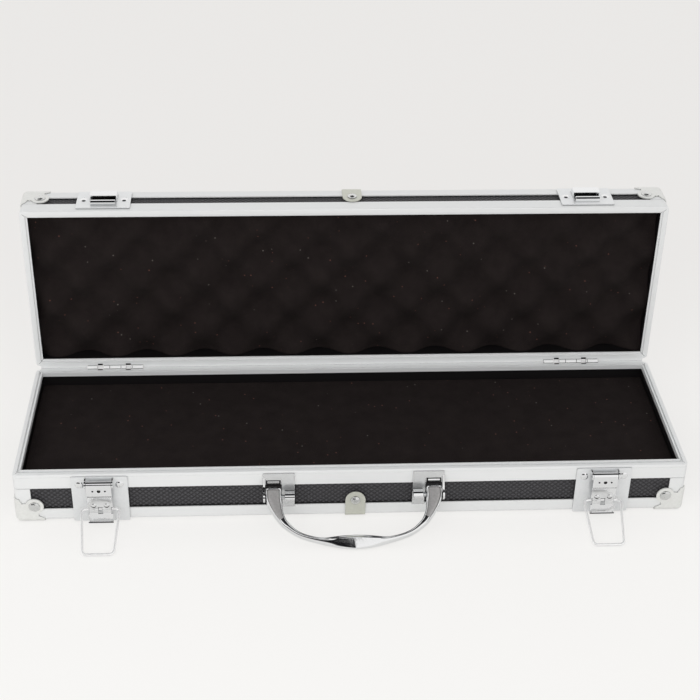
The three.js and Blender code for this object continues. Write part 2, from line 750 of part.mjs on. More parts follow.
function armPocket(side) {
  const steps = 8;
  const loops = [];
  for (let i = -1; i <= steps; i += 1) {
    const share = Math.max(i, 0) / steps;
    const section = bowSection(share * pocketEnd);
    if (i <= 0) section.along.set(0, 1);
    const half = Math.max(section.width / 2 - pocketRim, 0.3);
    const high = section.thickness / 2 + 1;
    const low = section.thickness / 2 - pocketDepth * (1 - share ** 3);
    const outline = [[-half, low], [half, low], [half, high], [-half, high]];
    loops.push(acrossBow(section, outline, side, i < 0 ? heelReach - pocketRim : 0));
  }
  return loft(loops);
}

function handleBow() {
  const steps = 16;
  const loops = heelLoops(-1);
  for (let i = -steps; i <= steps; i += 1) {
    const section = bowSection(1 - Math.abs(i) / steps);
    loops.push(acrossBow(section, barOutline(section), i < 0 ? -1 : 1));
  }
  loops.push(...heelLoops(1).reverse());
  const bore = new THREE.CylinderGeometry(
    handlePinRadius + fit, handlePinRadius + fit, 2 * handleSpan, 12).rotateZ(Math.PI / 2);
  return cut(loft(loops), [armPocket(-1), armPocket(1), bore]);
}

// Bracket: a plate with an outer ear, an inner barrel, and a notch that lets the heel swing.
function handleBracket(side) {
  const [near, far] = [handleSpan / 2 - armWidth / 2 - fit, handleSpan / 2 + armWidth / 2 + fit];
  const outerEnd = far + bracketEar;
  const innerEnd = outerEnd - bracketWidth;
  const out = fit + bracketSheet;
  const outline = polygon([
    [innerEnd, bracketLegFoot], [innerEnd + bracketLegWidth, bracketLegFoot],
    [innerEnd + bracketLegWidth, bracketFoot], [near, bracketFoot], [near, notchTop],
    [far, notchTop], [far, bracketFoot], [outerEnd, bracketFoot],
    [outerEnd, plateTop], [innerEnd, plateTop],
  ]);
  const lug = (radius, foot, head) => {
    const shape = new THREE.Shape();
    shape.moveTo(out - bracketSheet / 2, foot);
    shape.absarc(pivotOut, pivotHeight, radius, -Math.PI / 3, Math.PI / 2);
    shape.lineTo(out - bracketSheet / 2, head);
    return shape;
  };
  const pieces = [
    extrudeOutward(outline, fit, out),
    extrudeAlongX(lug(barrelRadius, pivotHeight - 7, pivotHeight + 1), innerEnd, near - barrelGap),
    extrudeAlongX(lug(barrelRadius + 1, bracketFoot, plateTop - 2), far, outerEnd),
  ];
  const bore = barAlongX(handlePinRadius + fit, innerEnd - 1, outerEnd + 1, pivotOut, pivotHeight, 12);
  const bracket = toGeometry(cut(union(pieces), [bore]));
  return side > 0 ? bracket : bracket.scale(-1, 1, 1);
}

function handlePin(side) {
  const far = handleSpan / 2 + armWidth / 2 + fit + bracketEar;
  const pin = barAlongX(handlePinRadius, far - bracketWidth, far, pivotOut, pivotHeight, 12);
  return side > 0 ? pin : pin.scale(-1, 1, 1);
}

// Hinges, drawn round their own axis with the leaf pointing down
const hingeHeight = baseHeight + seam / 2;

function hingeLeaf(first) {
  const pitch = hingeWidth / knuckles;
  const clear = knuckleRadius + knuckleGap;
  const back = -hingeBack + fit;
  const pieces = [
    box(-hingeWidth / 2, hingeWidth / 2, back, back + leafSheet, -leafHeight - clear, -clear),
  ];
  for (let i = first; i < knuckles; i += 2) {
    const x0 = -hingeWidth / 2 + i * pitch + knuckleGap / 2;
    const x1 = x0 + pitch - knuckleGap;
    pieces.push(box(x0, x1, back, back + leafSheet, -clear - 1, 0));
    pieces.push(new THREE.CylinderGeometry(knuckleRadius, knuckleRadius, x1 - x0, 14)
      .rotateZ(Math.PI / 2).translate((x0 + x1) / 2, 0, 0));
  }
  const bore = new THREE.CylinderGeometry(
    hingePinRadius + fit, hingePinRadius + fit, 2 * hingeWidth, 12).rotateZ(Math.PI / 2);
  return cut(union(pieces), [bore]);
}

function hingePin() {
  return new THREE.CylinderGeometry(hingePinRadius, hingePinRadius, hingeWidth, 12)
    .rotateZ(Math.PI / 2);
}

// Assembly

function mesh(name, shape, look) {
  const material = new THREE.MeshStandardMaterial(finish[look]);
  const item = new THREE.Mesh(toGeometry(shape), material);
  item.name = name;
  return item;
}

function flip(shape, height) {
  return toGeometry(shape).clone().scale(1, 1, -1).translate(0, 0, height);
}

const sides = [['left', -1], ['right', 1]];
const ends = [['front', -1], ['back', 1]];
const object = new THREE.Group();

const base = new THREE.Group();
base.position.z = outset;
object.add(base);

const lidHinge = new THREE.Group();
lidHinge.position.set(0, rearFace + hingeBack, hingeHeight);
lidHinge.rotation.x = -THREE.MathUtils.degToRad(openAngle);
base.add(lidHinge);
const lid = new THREE.Group();
lid.position.set(0, -rearFace - hingeBack, seam / 2);
lidHinge.add(lid);

// Both trays are framed alike; the lid's pieces are turned over.
function addTray(group, name, height, leg, isLid) {
  const place = (shape) => (isLid ? flip(shape, height) : shape);
  const shell = solid(trayBlock(outset)).subtract(solid(trayBlock(fit)));
  group.add(mesh(`${name}_rim`, place(rimRing(height, !isLid)), 'aluminium'));
  group.add(mesh(`${name}_rail`, place(railRing(leg)), 'aluminium'));
  const walls = boards(height);
  const clipOffset = isLid ? lidClipOffset : baseClipOffset;
  walls.front = cut(walls.front, [rivetHole(clipOffset)]);
  for (const [wall, shape] of Object.entries(walls)) {
    group.add(mesh(`${name}_${wall}_panel`, place(shape), 'panel'));
  }
  group.add(mesh(isLid ? 'lid_top_panel' : 'base_bottom_panel', place(faceBoard()), 'panel'));
  for (const [end, sy] of ends) {
    for (const [side, sx] of sides) {
      const corner = `${name}_${end}_${side}`;
      group.add(mesh(`${corner}_post`, place(cornerPost(sx, sy, height, leg)), 'aluminium'));
      group.add(mesh(`${corner}_corner`, place(cornerProtector(sx, sy, shell, isLid)), 'aluminium'));
    }
  }
  group.add(mesh(`${name}_foam`, place(isLid ? crateFoam() : flatFoam()), 'foam'));
  group.add(mesh(`${name}_clip`, place(centreClip(clipOffset)), 'aluminium'));
  group.add(mesh(`${name}_clip_rivet`, place(clipRivet(clipOffset)), 'steel'));
}

addTray(base, 'base', baseHeight, baseRailLeg, false);
addTray(lid, 'lid', lidHeight, lidRailLeg, true);

// The bail hangs until its end lies on the table.
const bailDroop = Math.asin((bailHeight + outset - wireRadius - fit) / bailReach);

for (const [side, sx] of sides) {
  const latch = new THREE.Group();
  latch.position.x = sx * latchOffset;
  base.add(latch);
  latch.add(mesh(`${side}_latch_plate`, latchBase(), 'chrome'));
  latch.add(mesh(`${side}_latch_pin`, latchPin(), 'steel'));
  latch.add(mesh(`${side}_latch_lever`, latchLever(), 'chrome'));
  const bail = mesh(`${side}_latch_bail`, bailLoop(), 'chrome');
  bail.position.set(0, frontFace - bailOut, bailHeight);
  bail.rotation.x = bailDroop;
  latch.add(bail);

  const catchPlate = mesh(`${side}_keeper`, keeper(), 'chrome');
  catchPlate.position.x = sx * latchOffset;
  lid.add(catchPlate);

  const hinge = new THREE.Group();
  hinge.position.set(sx * hingeOffset, rearFace + hingeBack, hingeHeight);
  base.add(hinge);
  hinge.add(mesh(`${side}_hinge_base_leaf`, hingeLeaf(0), 'steel'));
  hinge.add(mesh(`${side}_hinge_pin`, hingePin(), 'steel'));
  const lidLeaf = mesh(`${side}_hinge_lid_leaf`, flip(hingeLeaf(1), 0), 'steel');
  lidLeaf.position.x = sx * hingeOffset;
  lidHinge.add(lidLeaf);

  base.add(mesh(`${side}_handle_bracket`, handleBracket(sx), 'chrome'));
  base.add(mesh(`${side}_handle_pin`, handlePin(sx), 'steel'));
}

// The handle hangs until its grip lies on the table.
function handleDroop() {
  const room = pivotHeight + outset - fit;
  const power = 2 / (2 - gripPower);
  let angle = 0.5;
  for (let i = 0; i < 20; i += 1) {
    const across = ((gripWidth / 2) * Math.sin(angle)) ** power;
    const through = ((gripThickness / 2) * Math.cos(angle)) ** power;
    angle = Math.asin((room - (across + through) ** (1 / power)) / handleReach);
  }
  return angle;
}

const handle = mesh('handle', handleBow(), 'chrome');
handle.position.set(0, frontFace - pivotOut, pivotHeight);
handle.rotation.x = handleDroop();
base.add(handle);

object.updateMatrixWorld(true);
export default object;
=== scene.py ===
# %% [markdown]
# # A slim aluminium tool case
#
# The case stands open on a pale table. Two shallow trays of dark board are held by aluminium
# extrusions, stamped protectors guard the corners, and bright pressed hardware does the moving.
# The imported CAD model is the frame: every piece here takes its place and size from it, and the
# pieces that show get finer forms and real finishes.

# %% Load the frame
import math

import bmesh
import bpy
from mathutils import Matrix, Vector


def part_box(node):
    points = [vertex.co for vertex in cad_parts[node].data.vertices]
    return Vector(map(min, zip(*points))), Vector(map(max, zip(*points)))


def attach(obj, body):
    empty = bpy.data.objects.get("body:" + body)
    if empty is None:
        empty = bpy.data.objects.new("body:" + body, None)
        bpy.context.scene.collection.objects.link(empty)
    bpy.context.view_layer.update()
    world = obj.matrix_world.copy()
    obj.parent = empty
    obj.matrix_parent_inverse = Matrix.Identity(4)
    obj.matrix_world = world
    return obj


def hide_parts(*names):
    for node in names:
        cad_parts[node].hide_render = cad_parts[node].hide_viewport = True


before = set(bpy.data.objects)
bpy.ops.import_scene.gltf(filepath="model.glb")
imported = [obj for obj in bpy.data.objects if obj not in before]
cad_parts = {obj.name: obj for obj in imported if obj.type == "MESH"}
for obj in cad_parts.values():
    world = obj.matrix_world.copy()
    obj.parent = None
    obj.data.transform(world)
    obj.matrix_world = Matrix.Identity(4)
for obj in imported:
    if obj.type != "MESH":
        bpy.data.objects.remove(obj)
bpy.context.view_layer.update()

# %% [markdown]
# ## Sizes
#
# A designer keeps the sizes in one place. These are millimetres, the same as in the CAD source,
# and one factor turns them to Blender's metres when a mesh is made.

# %% Sizes of the trays
MM = 0.001
LENGTH, DEPTH = 460.0, 129.0
BASE_HEIGHT, LID_HEIGHT = 39.0, 31.5
LIFT = 1.0                      # the corner protectors carry the base this far off the table
SEAM = 0.4                      # gap between the two rims when the case is shut
FIT = 0.3                       # clearance between two pieces
CORNER = 3.0                    # outer radius of the extrusions
SKIN = 1.0                      # wall of the extrusions
RIM_WIDTH, RIM_LEG = 5.4, 11.4
RAIL_LEG, ANGLE_LEG = 10.0, 11.0
FRONT = -DEPTH / 2
HINGE_OUT = 1.5                 # the hinge's axis lies this far behind the trays
HINGE = Vector((0.0, DEPTH / 2 + HINGE_OUT, LIFT + BASE_HEIGHT + SEAM / 2))
SIDES = (("left", -1), ("right", 1))

# %% [markdown]
# ## Two places for one drawing
#
# Base and lid are built alike, so a piece is drawn once, with the tray's outer face at height 0
# and its rim on top. One matrix sets it in the base. For the lid another turns it over, lays it
# on the base and swings it open about the hinge.

# %% Placing matrices
BASE_PLACE = Matrix.Translation((0, 0, LIFT))
TURNED_OVER = Matrix.Translation((0, 0, LID_HEIGHT)) @ Matrix.Diagonal((1, 1, -1, 1))
SHUT = Matrix.Translation((0, 0, LIFT + BASE_HEIGHT + SEAM))
SWUNG_OPEN = (Matrix.Translation(HINGE) @ Matrix.Rotation(-math.pi / 2, 4, "X")
              @ Matrix.Translation(-HINGE))
LID_PLACE = SWUNG_OPEN @ SHUT @ TURNED_OVER
WORLD = Matrix.Identity(4)      # for pieces drawn where they stand
TRAYS = {"base": (BASE_PLACE, BASE_HEIGHT), "lid": (LID_PLACE, LID_HEIGHT)}
print("hinge axis at", tuple(round(v, 2) for v in HINGE))

# %% [markdown]
# ## Making, baking and naming a piece
#
# A piece starts as points and faces in millimetres. Modifiers may round it or cut it, and baking
# turns the result into a plain mesh with no modifier left, which is what a game or a viewer
# wants. A mirrored piece comes out inside out, so its faces are turned back.

# %% Mesh helpers
def link(name, data):
    """A new object in the scene."""
    made = bpy.data.objects.new(name, data)
    bpy.context.scene.collection.objects.link(made)
    return made


def make_object(name, points, faces, place=BASE_PLACE, uvs=None):
    mesh = bpy.data.meshes.new(name)
    mesh.from_pydata([(place @ Vector(p)) * MM for p in points], [], faces)
    if uvs:
        layer = mesh.uv_layers.new(name="Surface")
        for corner, uv in zip(layer.data, uvs):
            corner.uv = uv
    if place.determinant() < 0:
        mesh.flip_normals()
    return link(name, mesh)


def turn_outward(piece, weld=False):
    """Points every face outward; weld first joins the corners that coincide."""
    shape = bmesh.new()
    shape.from_mesh(piece.data)
    if weld:
        bmesh.ops.remove_doubles(shape, verts=shape.verts, dist=1e-6)
    bmesh.ops.recalc_face_normals(shape, faces=shape.faces)
    shape.to_mesh(piece.data)
    shape.free()
    return piece


def bake(piece):
    """Turns a piece and its modifiers into a plain mesh."""
    graph = bpy.context.evaluated_depsgraph_get()
    baked = bpy.data.meshes.new_from_object(piece.evaluated_get(graph))
    old = piece.data
    piece.modifiers.clear()
    piece.data = baked
    baked.name = piece.name
    bpy.data.meshes.remove(old)
    return piece


def soften(piece, width=0.15, segments=2, angle=40):
    """Rounds the sharp edges of a sheet or a casting, as tumbling and plating do."""
    bevel = piece.modifiers.new("edge", "BEVEL")
    bevel.width = width * MM
    bevel.segments = segments
    bevel.limit_method = "ANGLE"
    bevel.angle_limit = math.radians(angle)
    bevel.harden_normals = False
    return bake(piece)


def smooth(piece, angle=35):
    """Smooth shading that leaves flat faces flat: each corner leans on its largest faces."""
    piece.data.shade_smooth()
    piece.data.set_sharp_from_angle(angle=math.radians(angle))
    weigh = piece.modifiers.new("normals", "WEIGHTED_NORMAL")
    weigh.keep_sharp = True
    return bake(piece)


def boolean(piece, cutter, operation="DIFFERENCE"):
    """Cuts a piece with another, or joins them, and deletes the cutter."""
    step = piece.modifiers.new("cut", "BOOLEAN")
    step.operation = operation
    step.object = cutter
    step.solver = "EXACT"
    bake(piece)
    bpy.data.objects.remove(cutter)
    return piece


def finish_piece(piece, material, body, slot, *nodes):
    """Gives a finished piece its material, its body and the CAD nodes it stands for."""
    if material:
        piece.data.materials.clear()
        piece.data.materials.append(material)
    if nodes:
        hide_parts(*nodes)
    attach(piece, body)
    print(f"{piece.name}: {len(piece.data.polygons)} faces on {body}")
    return piece

# %% [markdown]
# ## Colours and material nodes
#
# Colours are written as they look on a screen, in sRGB hex, and one function turns them to the
# linear values that Blender's shaders add and multiply. One more function adds a node, sets it
# and links it. The short ones after it give the output of a common kind of node, so a material
# below reads like arithmetic.

# %% Colour and node helpers
def linear(hex_colour):
    channels = [int(hex_colour[i:i + 2], 16) / 255 for i in (1, 3, 5)]
    return (*(c / 12.92 if c <= 0.04045 else ((c + 0.055) / 1.055) ** 2.4 for c in channels), 1.0)


def add(tree, kind, inputs=None, **settings):
    """Inputs are values or sockets, by the number or the name of the input."""
    made = tree.nodes.new(kind)
    for key, value in settings.items():
        setattr(made, key, value)
    for socket, value in (inputs or {}).items():
        if isinstance(value, bpy.types.NodeSocket):
            tree.links.new(value, made.inputs[socket])
        else:
            made.inputs[socket].default_value = value
    return made


def calc(tree, operation, *values):
    return add(tree, "ShaderNodeMath", dict(enumerate(values)), operation=operation).outputs[0]


def vector_calc(tree, operation, *values):
    made = add(tree, "ShaderNodeVectorMath", dict(enumerate(values)), operation=operation)
    return made.outputs["Value" if operation == "DOT_PRODUCT" else "Vector"]


def split(tree, vector):
    return add(tree, "ShaderNodeSeparateXYZ", {0: vector}).outputs


def ramp(tree, value, start, end, low=0.0, high=1.0, **settings):
    """Goes from low to high while value goes from start to end."""
    sockets = {0: value, 1: start, 2: end, 3: low, 4: high}
    return add(tree, "ShaderNodeMapRange", sockets, **settings).outputs[0]


def blend(tree, share, colour, other):
    """A mix of two colours, each a hex code or a socket; share is how much of the other."""
    tones = {6 + i: linear(c) if isinstance(c, str) else c for i, c in enumerate((colour, other))}
    return add(tree, "ShaderNodeMix", {0: share, **tones}, data_type="RGBA").outputs[2]


def noise(tree, vector, scale, detail, roughness=0.5):
    return add(tree, "ShaderNodeTexNoise", {"Vector": vector, "Scale": scale, "Detail": detail,
                                            "Roughness": roughness}).outputs["Fac"]


def new_material(name, colour, metallic, roughness, **extra):
    material = bpy.data.materials.new(name)
    material.use_nodes = True
    shader = material.node_tree.nodes["Principled BSDF"]
    shader.inputs["Base Color"].default_value = linear(colour)
    shader.inputs["Metallic"].default_value = metallic
    shader.inputs["Roughness"].default_value = roughness
    for socket, value in extra.items():
        shader.inputs[socket.replace("_", " ")].default_value = value
    material.diffuse_color = linear(colour)
    return material, material.node_tree, shader


def bump(tree, shader, height, strength, distance):
    made = add(tree, "ShaderNodeBump", {"Height": height, "Strength": strength,
                                        "Distance": distance})
    tree.links.new(made.outputs[0], shader.inputs["Normal"])

# %% [markdown]
# ## Painted shade in creases
#
# Shade gathers where surfaces meet at an inner edge: round a rivet, under a plate, in a fold.
# An occlusion node finds such places from the shape alone, within a millimetre, and paints
# that shade by darkening the colour there.

# %% Crease helper
def painted_crease_shade(tree, colour, dark, reach=1.0, start=0.25, end=0.85):
    """Painted shade: dark where less than start of the surroundings is open, plain above end; reach
    is in mm.
    """
    hidden = add(tree, "ShaderNodeAmbientOcclusion", {"Distance": reach * MM}, samples=8)
    return blend(tree, ramp(tree, hidden.outputs["AO"], start, end), dark, colour)

# %% [markdown]
# ## Anodised aluminium, extruded
#
# The rims and rails are pushed through a die, etched and then anodised. The oxide is clear but
# scatters light, so the metal looks pale and satin rather than like a mirror: a fifth of it is
# shaded as metal and the rest as a pale solid. The die leaves fine straight lines along the length,
# so the noise is read from the piece's own UV map, stretched along the extrusion. Real die
# lines are a tenth of a millimetre wide, too fine to show, so these are about half a
# millimetre. The same map knows where the mitres are.

# %% Extrusion finish
DIE_LINES = (0.02, 2.2, 0)      # how often the noise turns per mm, along the die lines and across
MITRE_EDGE = (0.2, 0.06)        # mm from the corner where a mitre's seam fades in and is full


def extruded_aluminium(name, mitre=None):
    """Mitre gives the stretch of the profile, in mm, where a seam shows at each corner."""
    material, tree, shader = new_material(name, "#F0F1F1", 0.22, 0.4)
    surface = add(tree, "ShaderNodeUVMap", uv_map="Surface").outputs["UV"]
    lines = noise(tree, vector_calc(tree, "MULTIPLY", surface, DIE_LINES), 1.0, 4.0, 0.65)
    tree.links.new(ramp(tree, lines, 0.3, 0.7, 0.36, 0.5), shader.inputs["Roughness"])
    colour = blend(tree, lines, "#E9EBEC", "#F6F6F5")
    if mitre:
        from_corner, along_profile, _ = split(tree, surface)
        on_top = calc(tree, "MULTIPLY", calc(tree, "GREATER_THAN", along_profile, mitre[0]),
                      calc(tree, "LESS_THAN", along_profile, mitre[1]))
        seam = calc(tree, "MULTIPLY", ramp(tree, from_corner, *MITRE_EDGE), on_top)
        colour = blend(tree, seam, colour, "#5C6062")
    # painted shade: the occlusion darkens the anodised colour in creases and under plates
    tree.links.new(painted_crease_shade(tree, colour, "#8E9092", 0.8, 0.1, 0.6), shader.inputs["Base Color"])
    bump(tree, shader, lines, 0.1, 0.0001)
    return material

# %% [markdown]
# ## Bright plated steel
#
# Latches, hooks and the handle are pressed or cast, polished and chrome plated. Plating
# follows the metal beneath, which is never quite flat, so a slow bump of a few millimetres
# bends the reflections and a finer noise dulls them a little here and there. Pins, rivets and
# wire get the same, with more dullness. Zinc on wire is no mirror, so half of it is metal.

# %% Plating finish
def plated(name, colour, roughness, metallic=1.0, wave=0.06):
    """Wave is the strength of the slow bump."""
    material, tree, shader = new_material(name, colour, metallic, roughness)
    place = add(tree, "ShaderNodeTexCoord").outputs["Object"]
    dull = ramp(tree, noise(tree, place, 900.0, 3.0), 0.35, 0.75, roughness * 0.7, roughness * 1.6)
    tree.links.new(dull, shader.inputs["Roughness"])
    # painted shade: the occlusion darkens the plating in creases, round rivets and in folds
    tree.links.new(painted_crease_shade(tree, colour, "#1A1A1C"), shader.inputs["Base Color"])
    bump(tree, shader, noise(tree, place, 180.0, 2.0), wave, 0.0006)
    return material

# %% [markdown]
# ## Stamped sheet
#
# Protectors, clips, latch plates, brackets and hinge leaves are cut from thin sheet and
# tumbled, which leaves a dull skin with a faint mottle of a millimetre or two. It is shaded like
# the extrusions, with blotches instead of lines. The same mottle suits a casting that was
# never polished, as in the pockets of the handle.

# %% Sheet finish
def tumbled_sheet(name, dark, pale, metallic, roughness):
    material, tree, shader = new_material(name, pale, metallic, roughness)
    place = add(tree, "ShaderNodeTexCoord").outputs["Object"]
    blotches = noise(tree, place, 650.0, 3.0, 0.6)
    tint = blend(tree, blotches, dark, pale)
    # painted shade: the occlusion darkens the sheet in creases, round rivets and in folds
    tree.links.new(painted_crease_shade(tree, tint, "#3A3A3A"), shader.inputs["Base Color"])
    bump(tree, shader, blotches, 0.08, 0.0002)
    return material

# %% [markdown]
# ## Embossed board
#
# The boards are fibreboard under a dark plastic skin, rolled with small raised diamonds 4 mm
# wide. Two families of slanting grooves make them: each diamond is highest in its middle and
# falls to the grooves. Their colour carries painted light: the tops are painted lighter, as a
# painted highlight, and the grooves darker, as painted shade. Where a board slips under an
# extrusion, shade falls along it, and that shade is painted as a dark band. Inside, the same
# boards are lined in plain black. The Object coordinates of a face and its normal say which way
# the diamonds run and which side it is on.

# %% Board finish
DIAMOND = (0.0041, 0.0034)      # width and height in metres
FOOT_SHADE = (0.0019, 0.0013)    # over the rail the painted shade fades in and is full, in metres
TOP_SHADE = (0.0012, 0.0007)     # and so much under the rim
RAGGED = 0.0009                 # how far the diamonds push the painted shade along the foot about
UPRIGHT = 0.3                   # the most that an upright face leans


def embossed_board(name, centre, upward, foot, visible):
    """Upward is the tray's height as an axis; foot is that height at the tray's outer face.

    Visible gives the heights, from the foot, between which the extrusions leave the board bare.
    """
    material, tree, shader = new_material(name, "#424143", 0.0, 0.5, Specular_IOR_Level=0.35)
    place = add(tree, "ShaderNodeTexCoord").outputs
    point, normal = place["Object"], place["Normal"]
    sideways, _, upwards = split(tree, vector_calc(tree, "ABSOLUTE", normal))
    x, y, z = split(tree, point)
    u = add(tree, "ShaderNodeMix", {0: sideways, 2: x, 3: y}).outputs[0]
    v = add(tree, "ShaderNodeMix", {0: upwards, 2: z, 3: y}).outputs[0]
    across = calc(tree, "MULTIPLY", u, math.pi / DIAMOND[0])
    ridges = []
    for turn in (math.pi / DIAMOND[1], -math.pi / DIAMOND[1]):
        slant = calc(tree, "MULTIPLY_ADD", v, turn, across)
        ridges.append(calc(tree, "ABSOLUTE", calc(tree, "SINE", slant)))
    raised = calc(tree, "MINIMUM", *ridges)
    # painted highlight and shade: diamond tops lighter, grooves darker
    skin = blend(tree, raised, "#262527", "#4E4D50")

    # painted shade along the rail and under the rim, on upright faces; seam here is that shade
    tray_height = calc(tree, "SUBTRACT", vector_calc(tree, "DOT_PRODUCT", point, upward), foot)
    ragged = calc(tree, "MULTIPLY_ADD", raised, RAGGED, tray_height)
    low = ramp(tree, ragged, *(visible[0] + seam for seam in FOOT_SHADE))
    high = ramp(tree, tray_height, *(visible[1] - seam for seam in TOP_SHADE))
    lean = vector_calc(tree, "DOT_PRODUCT", normal, upward)
    upright = calc(tree, "COMPARE", lean, 0.0, UPRIGHT)
    seam = calc(tree, "MULTIPLY", calc(tree, "MAXIMUM", low, high), upright)
    skin = blend(tree, seam, skin, "#0C0B0C")

    outward = vector_calc(tree, "SUBTRACT", point, centre)
    outside = calc(tree, "GREATER_THAN", vector_calc(tree, "DOT_PRODUCT", outward, normal), 0.0)
    tree.links.new(blend(tree, outside, "#131112", skin), shader.inputs["Base Color"])
    height = calc(tree, "MULTIPLY_ADD", noise(tree, point, 600.0, 3.0), 0.5, raised)
    bump(tree, shader, height, outside, 0.0005)
    return material

# %% [markdown]
# ## Open-cell foam
#
# The pads are polyurethane foam, dyed black. Its cells are under a millimetre and swallow
# light, so the colour is nearly black and fully rough, with a pitted bump. Foam gathers lint:
# reddish dust and grey fluff, each speck about half a millimetre. Each kind comes from the
# cells of a Voronoi pattern, kept only where the cell's random colour is high.

# %% Foam finish
SPECK = 0.00065                 # size of a speck in metres
LINT = (("#6E4B43", 190.0, 0.72, (0.0, 0.0, 0.0)),      # colour, cells per metre, rarity, shift
        ("#6B6662", 150.0, 0.80, (0.3, 0.1, 0.7)))


def open_cell_foam(name):
    material, tree, shader = new_material(name, "#211D1D", 0.0, 1.0, Specular_IOR_Level=0.15)
    place = add(tree, "ShaderNodeTexCoord").outputs["Object"]
    colour = blend(tree, noise(tree, place, 90.0, 5.0, 0.6), "#191414", "#2B2524")
    for tone, density, rarity, shift in LINT:
        moved = vector_calc(tree, "ADD", place, shift)
        lint = add(tree, "ShaderNodeTexVoronoi", {"Vector": moved, "Scale": density}).outputs
        chance = add(tree, "ShaderNodeSeparateColor", {0: lint["Color"]}).outputs[0]
        small = ramp(tree, lint["Distance"], SPECK * density, SPECK * density * 0.4)
        speck = calc(tree, "MULTIPLY", calc(tree, "GREATER_THAN", chance, rarity), small)
        colour = blend(tree, speck, colour, tone)
    tree.links.new(colour, shader.inputs["Base Color"])
    cells = add(tree, "ShaderNodeTexVoronoi", {"Vector": place, "Scale": 1300.0})
    bump(tree, shader, cells.outputs["Distance"], 0.6, 0.0004)
    return material

# %% [markdown]
# ## The finishes of this case
#
# Each finish above is now made for every kind of part: a rim, a rail, a protector and a hinge
# leaf leave the factory in different tones, although all are pale metal. A comment says what
# each one's making gives the eye. The boards' finish has to know where its tray stands,
# because a dark seam runs along the extrusions.

# %% Make the finishes
MITRE = (13.0, 19.5)            # mm along the rim's profile, over its flat face
# etched and anodised: pale satin with fine straight lines, and dark seams at the mitres
RIM_METAL = extruded_aluminium("anodised aluminium, mitred rim", MITRE)
# the same, under the protectors at its corners, so no seam shows
RAIL_METAL = extruded_aluminium("anodised aluminium, rail")
# punched, folded and tumbled with stones: soft edges and hardly a reflection
STAMPED = tumbled_sheet("stamped aluminium, tumbled", "#E5E6E2", "#F5F5F3", 0.35, 0.4)
# pressed, etched and plated: satin, with wide soft reflections
PLATE = tumbled_sheet("nickel plated sheet, satin", "#E7E9EA", "#F4F5F6", 0.5, 0.3)
# zinc from a bath: almost white, as if it were painted
HINGE_METAL = tumbled_sheet("zinc plated hinge", "#FAFAFA", "#FFFFFF", 0.1, 0.3)
# tumbled longer than the protectors: duller, and a little yellow
CLIP_METAL = tumbled_sheet("stamped aluminium, clip", "#CBCCC0", "#DBDCD2", 0.4, 0.4)
# brushed before it was plated: a grey and blurred mirror
BRACKET_METAL = tumbled_sheet("chrome plated sheet, brushed", "#D7D8D9", "#E5E6E6", 0.7, 0.25)
# headed from bright wire: a small round mirror on each head
RIVET_METAL = plated("aluminium rivet, polished", "#DCDDDC", 0.2)
# polished before it was plated: a clear mirror
CHROME = plated("chrome plated steel", "#F1F2F3", 0.07)
# drawn, bent and zinc plated: white, with a soft line of light along it
WIRE_METAL = plated("zinc plated wire", "#FFFFFF", 0.15, metallic=0.45, wave=0.0)
# left as it came from the mould: grey and grainy
CAST_POCKET = tumbled_sheet("zinc casting, as cast", "#ADABAA", "#DAD8D8", 0.75, 0.45)
# drawn and ground: a mirror that is duller than chrome
PIN_METAL = plated("bright steel pin", "#D0D2D4", 0.2)
# flat black for painted shade in holes, gaps and openings, and for the board seen through the
# keeper's window: no reflection worth the name
SHADE_BLACK = new_material("flat black, painted shade", "#161415", 0.0, 0.8)[0]
BASE_CENTRE, LID_CENTRE = (0.0, 0.0, 0.02), (0.0, 0.082, 0.106)     # inside each tray, in metres
OUTER_FACE = (HINGE.y + SEAM / 2 + LID_HEIGHT) * MM     # of the open lid's top board
# rolled while the skin was warm: raised diamonds, with a painted highlight on their tops and
# painted shade in the grooves and along the extrusions
BASE_BOARD = embossed_board("embossed board, base", BASE_CENTRE, (0, 0, 1), LIFT * MM,
                            (RAIL_LEG * MM, (BASE_HEIGHT - RIM_LEG) * MM))
LID_BOARD = embossed_board("embossed board, lid", LID_CENTRE, (0, -1, 0), -OUTER_FACE,
                           (RAIL_LEG * MM, (LID_HEIGHT - RIM_LEG) * MM))
# cut, with its cells open: pits that swallow the light
FOAM = open_cell_foam("black polyurethane foam")
print(len(bpy.data.materials), "materials")

# %% [markdown]
# ## Profiles swept round a tray
#
# A rim or rail is one profile carried round a rectangle with small round corners. Each point
# of the profile makes a loop of its own inset, and joining the loops gives a closed ring. The
# UV map stores the distance from the nearest mitre and the length along the profile, in mm.

# %% Sweep a profile round the tray
INNER_BEND = 0.4                # the tightest corner of a loop


def tray_loop(inset, height, steps):
    """Points round the tray, each with its distance from the nearest mitre."""
    radius = max(CORNER - inset, INNER_BEND)
    half_x, half_y = LENGTH / 2 - inset, DEPTH / 2 - inset
    loop = []
    for quarter, (sx, sy) in enumerate(((1, -1), (1, 1), (-1, 1), (-1, -1))):
        x, y = sx * (half_x - radius), sy * (half_y - radius)
        for i in range(steps + 1):
            angle = (quarter - 1) * math.pi / 2 + i * math.pi / 2 / steps
            bend = abs(i / steps - 0.5) * math.pi / 2 * radius
            point = (x + radius * math.cos(angle), y + radius * math.sin(angle), height)
            loop.append((point, bend))
        if quarter % 2:         # then the middle of the next side
            loop.append(((0, sy * half_y, height), half_x))
        else:
            loop.append(((sx * half_x, 0, height), half_y))
    return loop


def skin(rows, count, closed=False):
    """Faces between rows of count points each; a closed skin joins the last row to the first."""
    faces = []
    for i in range(rows if closed else rows - 1):
        here, after = i * count, (i + 1) % rows * count
        faces += [(here + j, here + (j + 1) % count, after + (j + 1) % count, after + j)
                  for j in range(count)]
    return faces


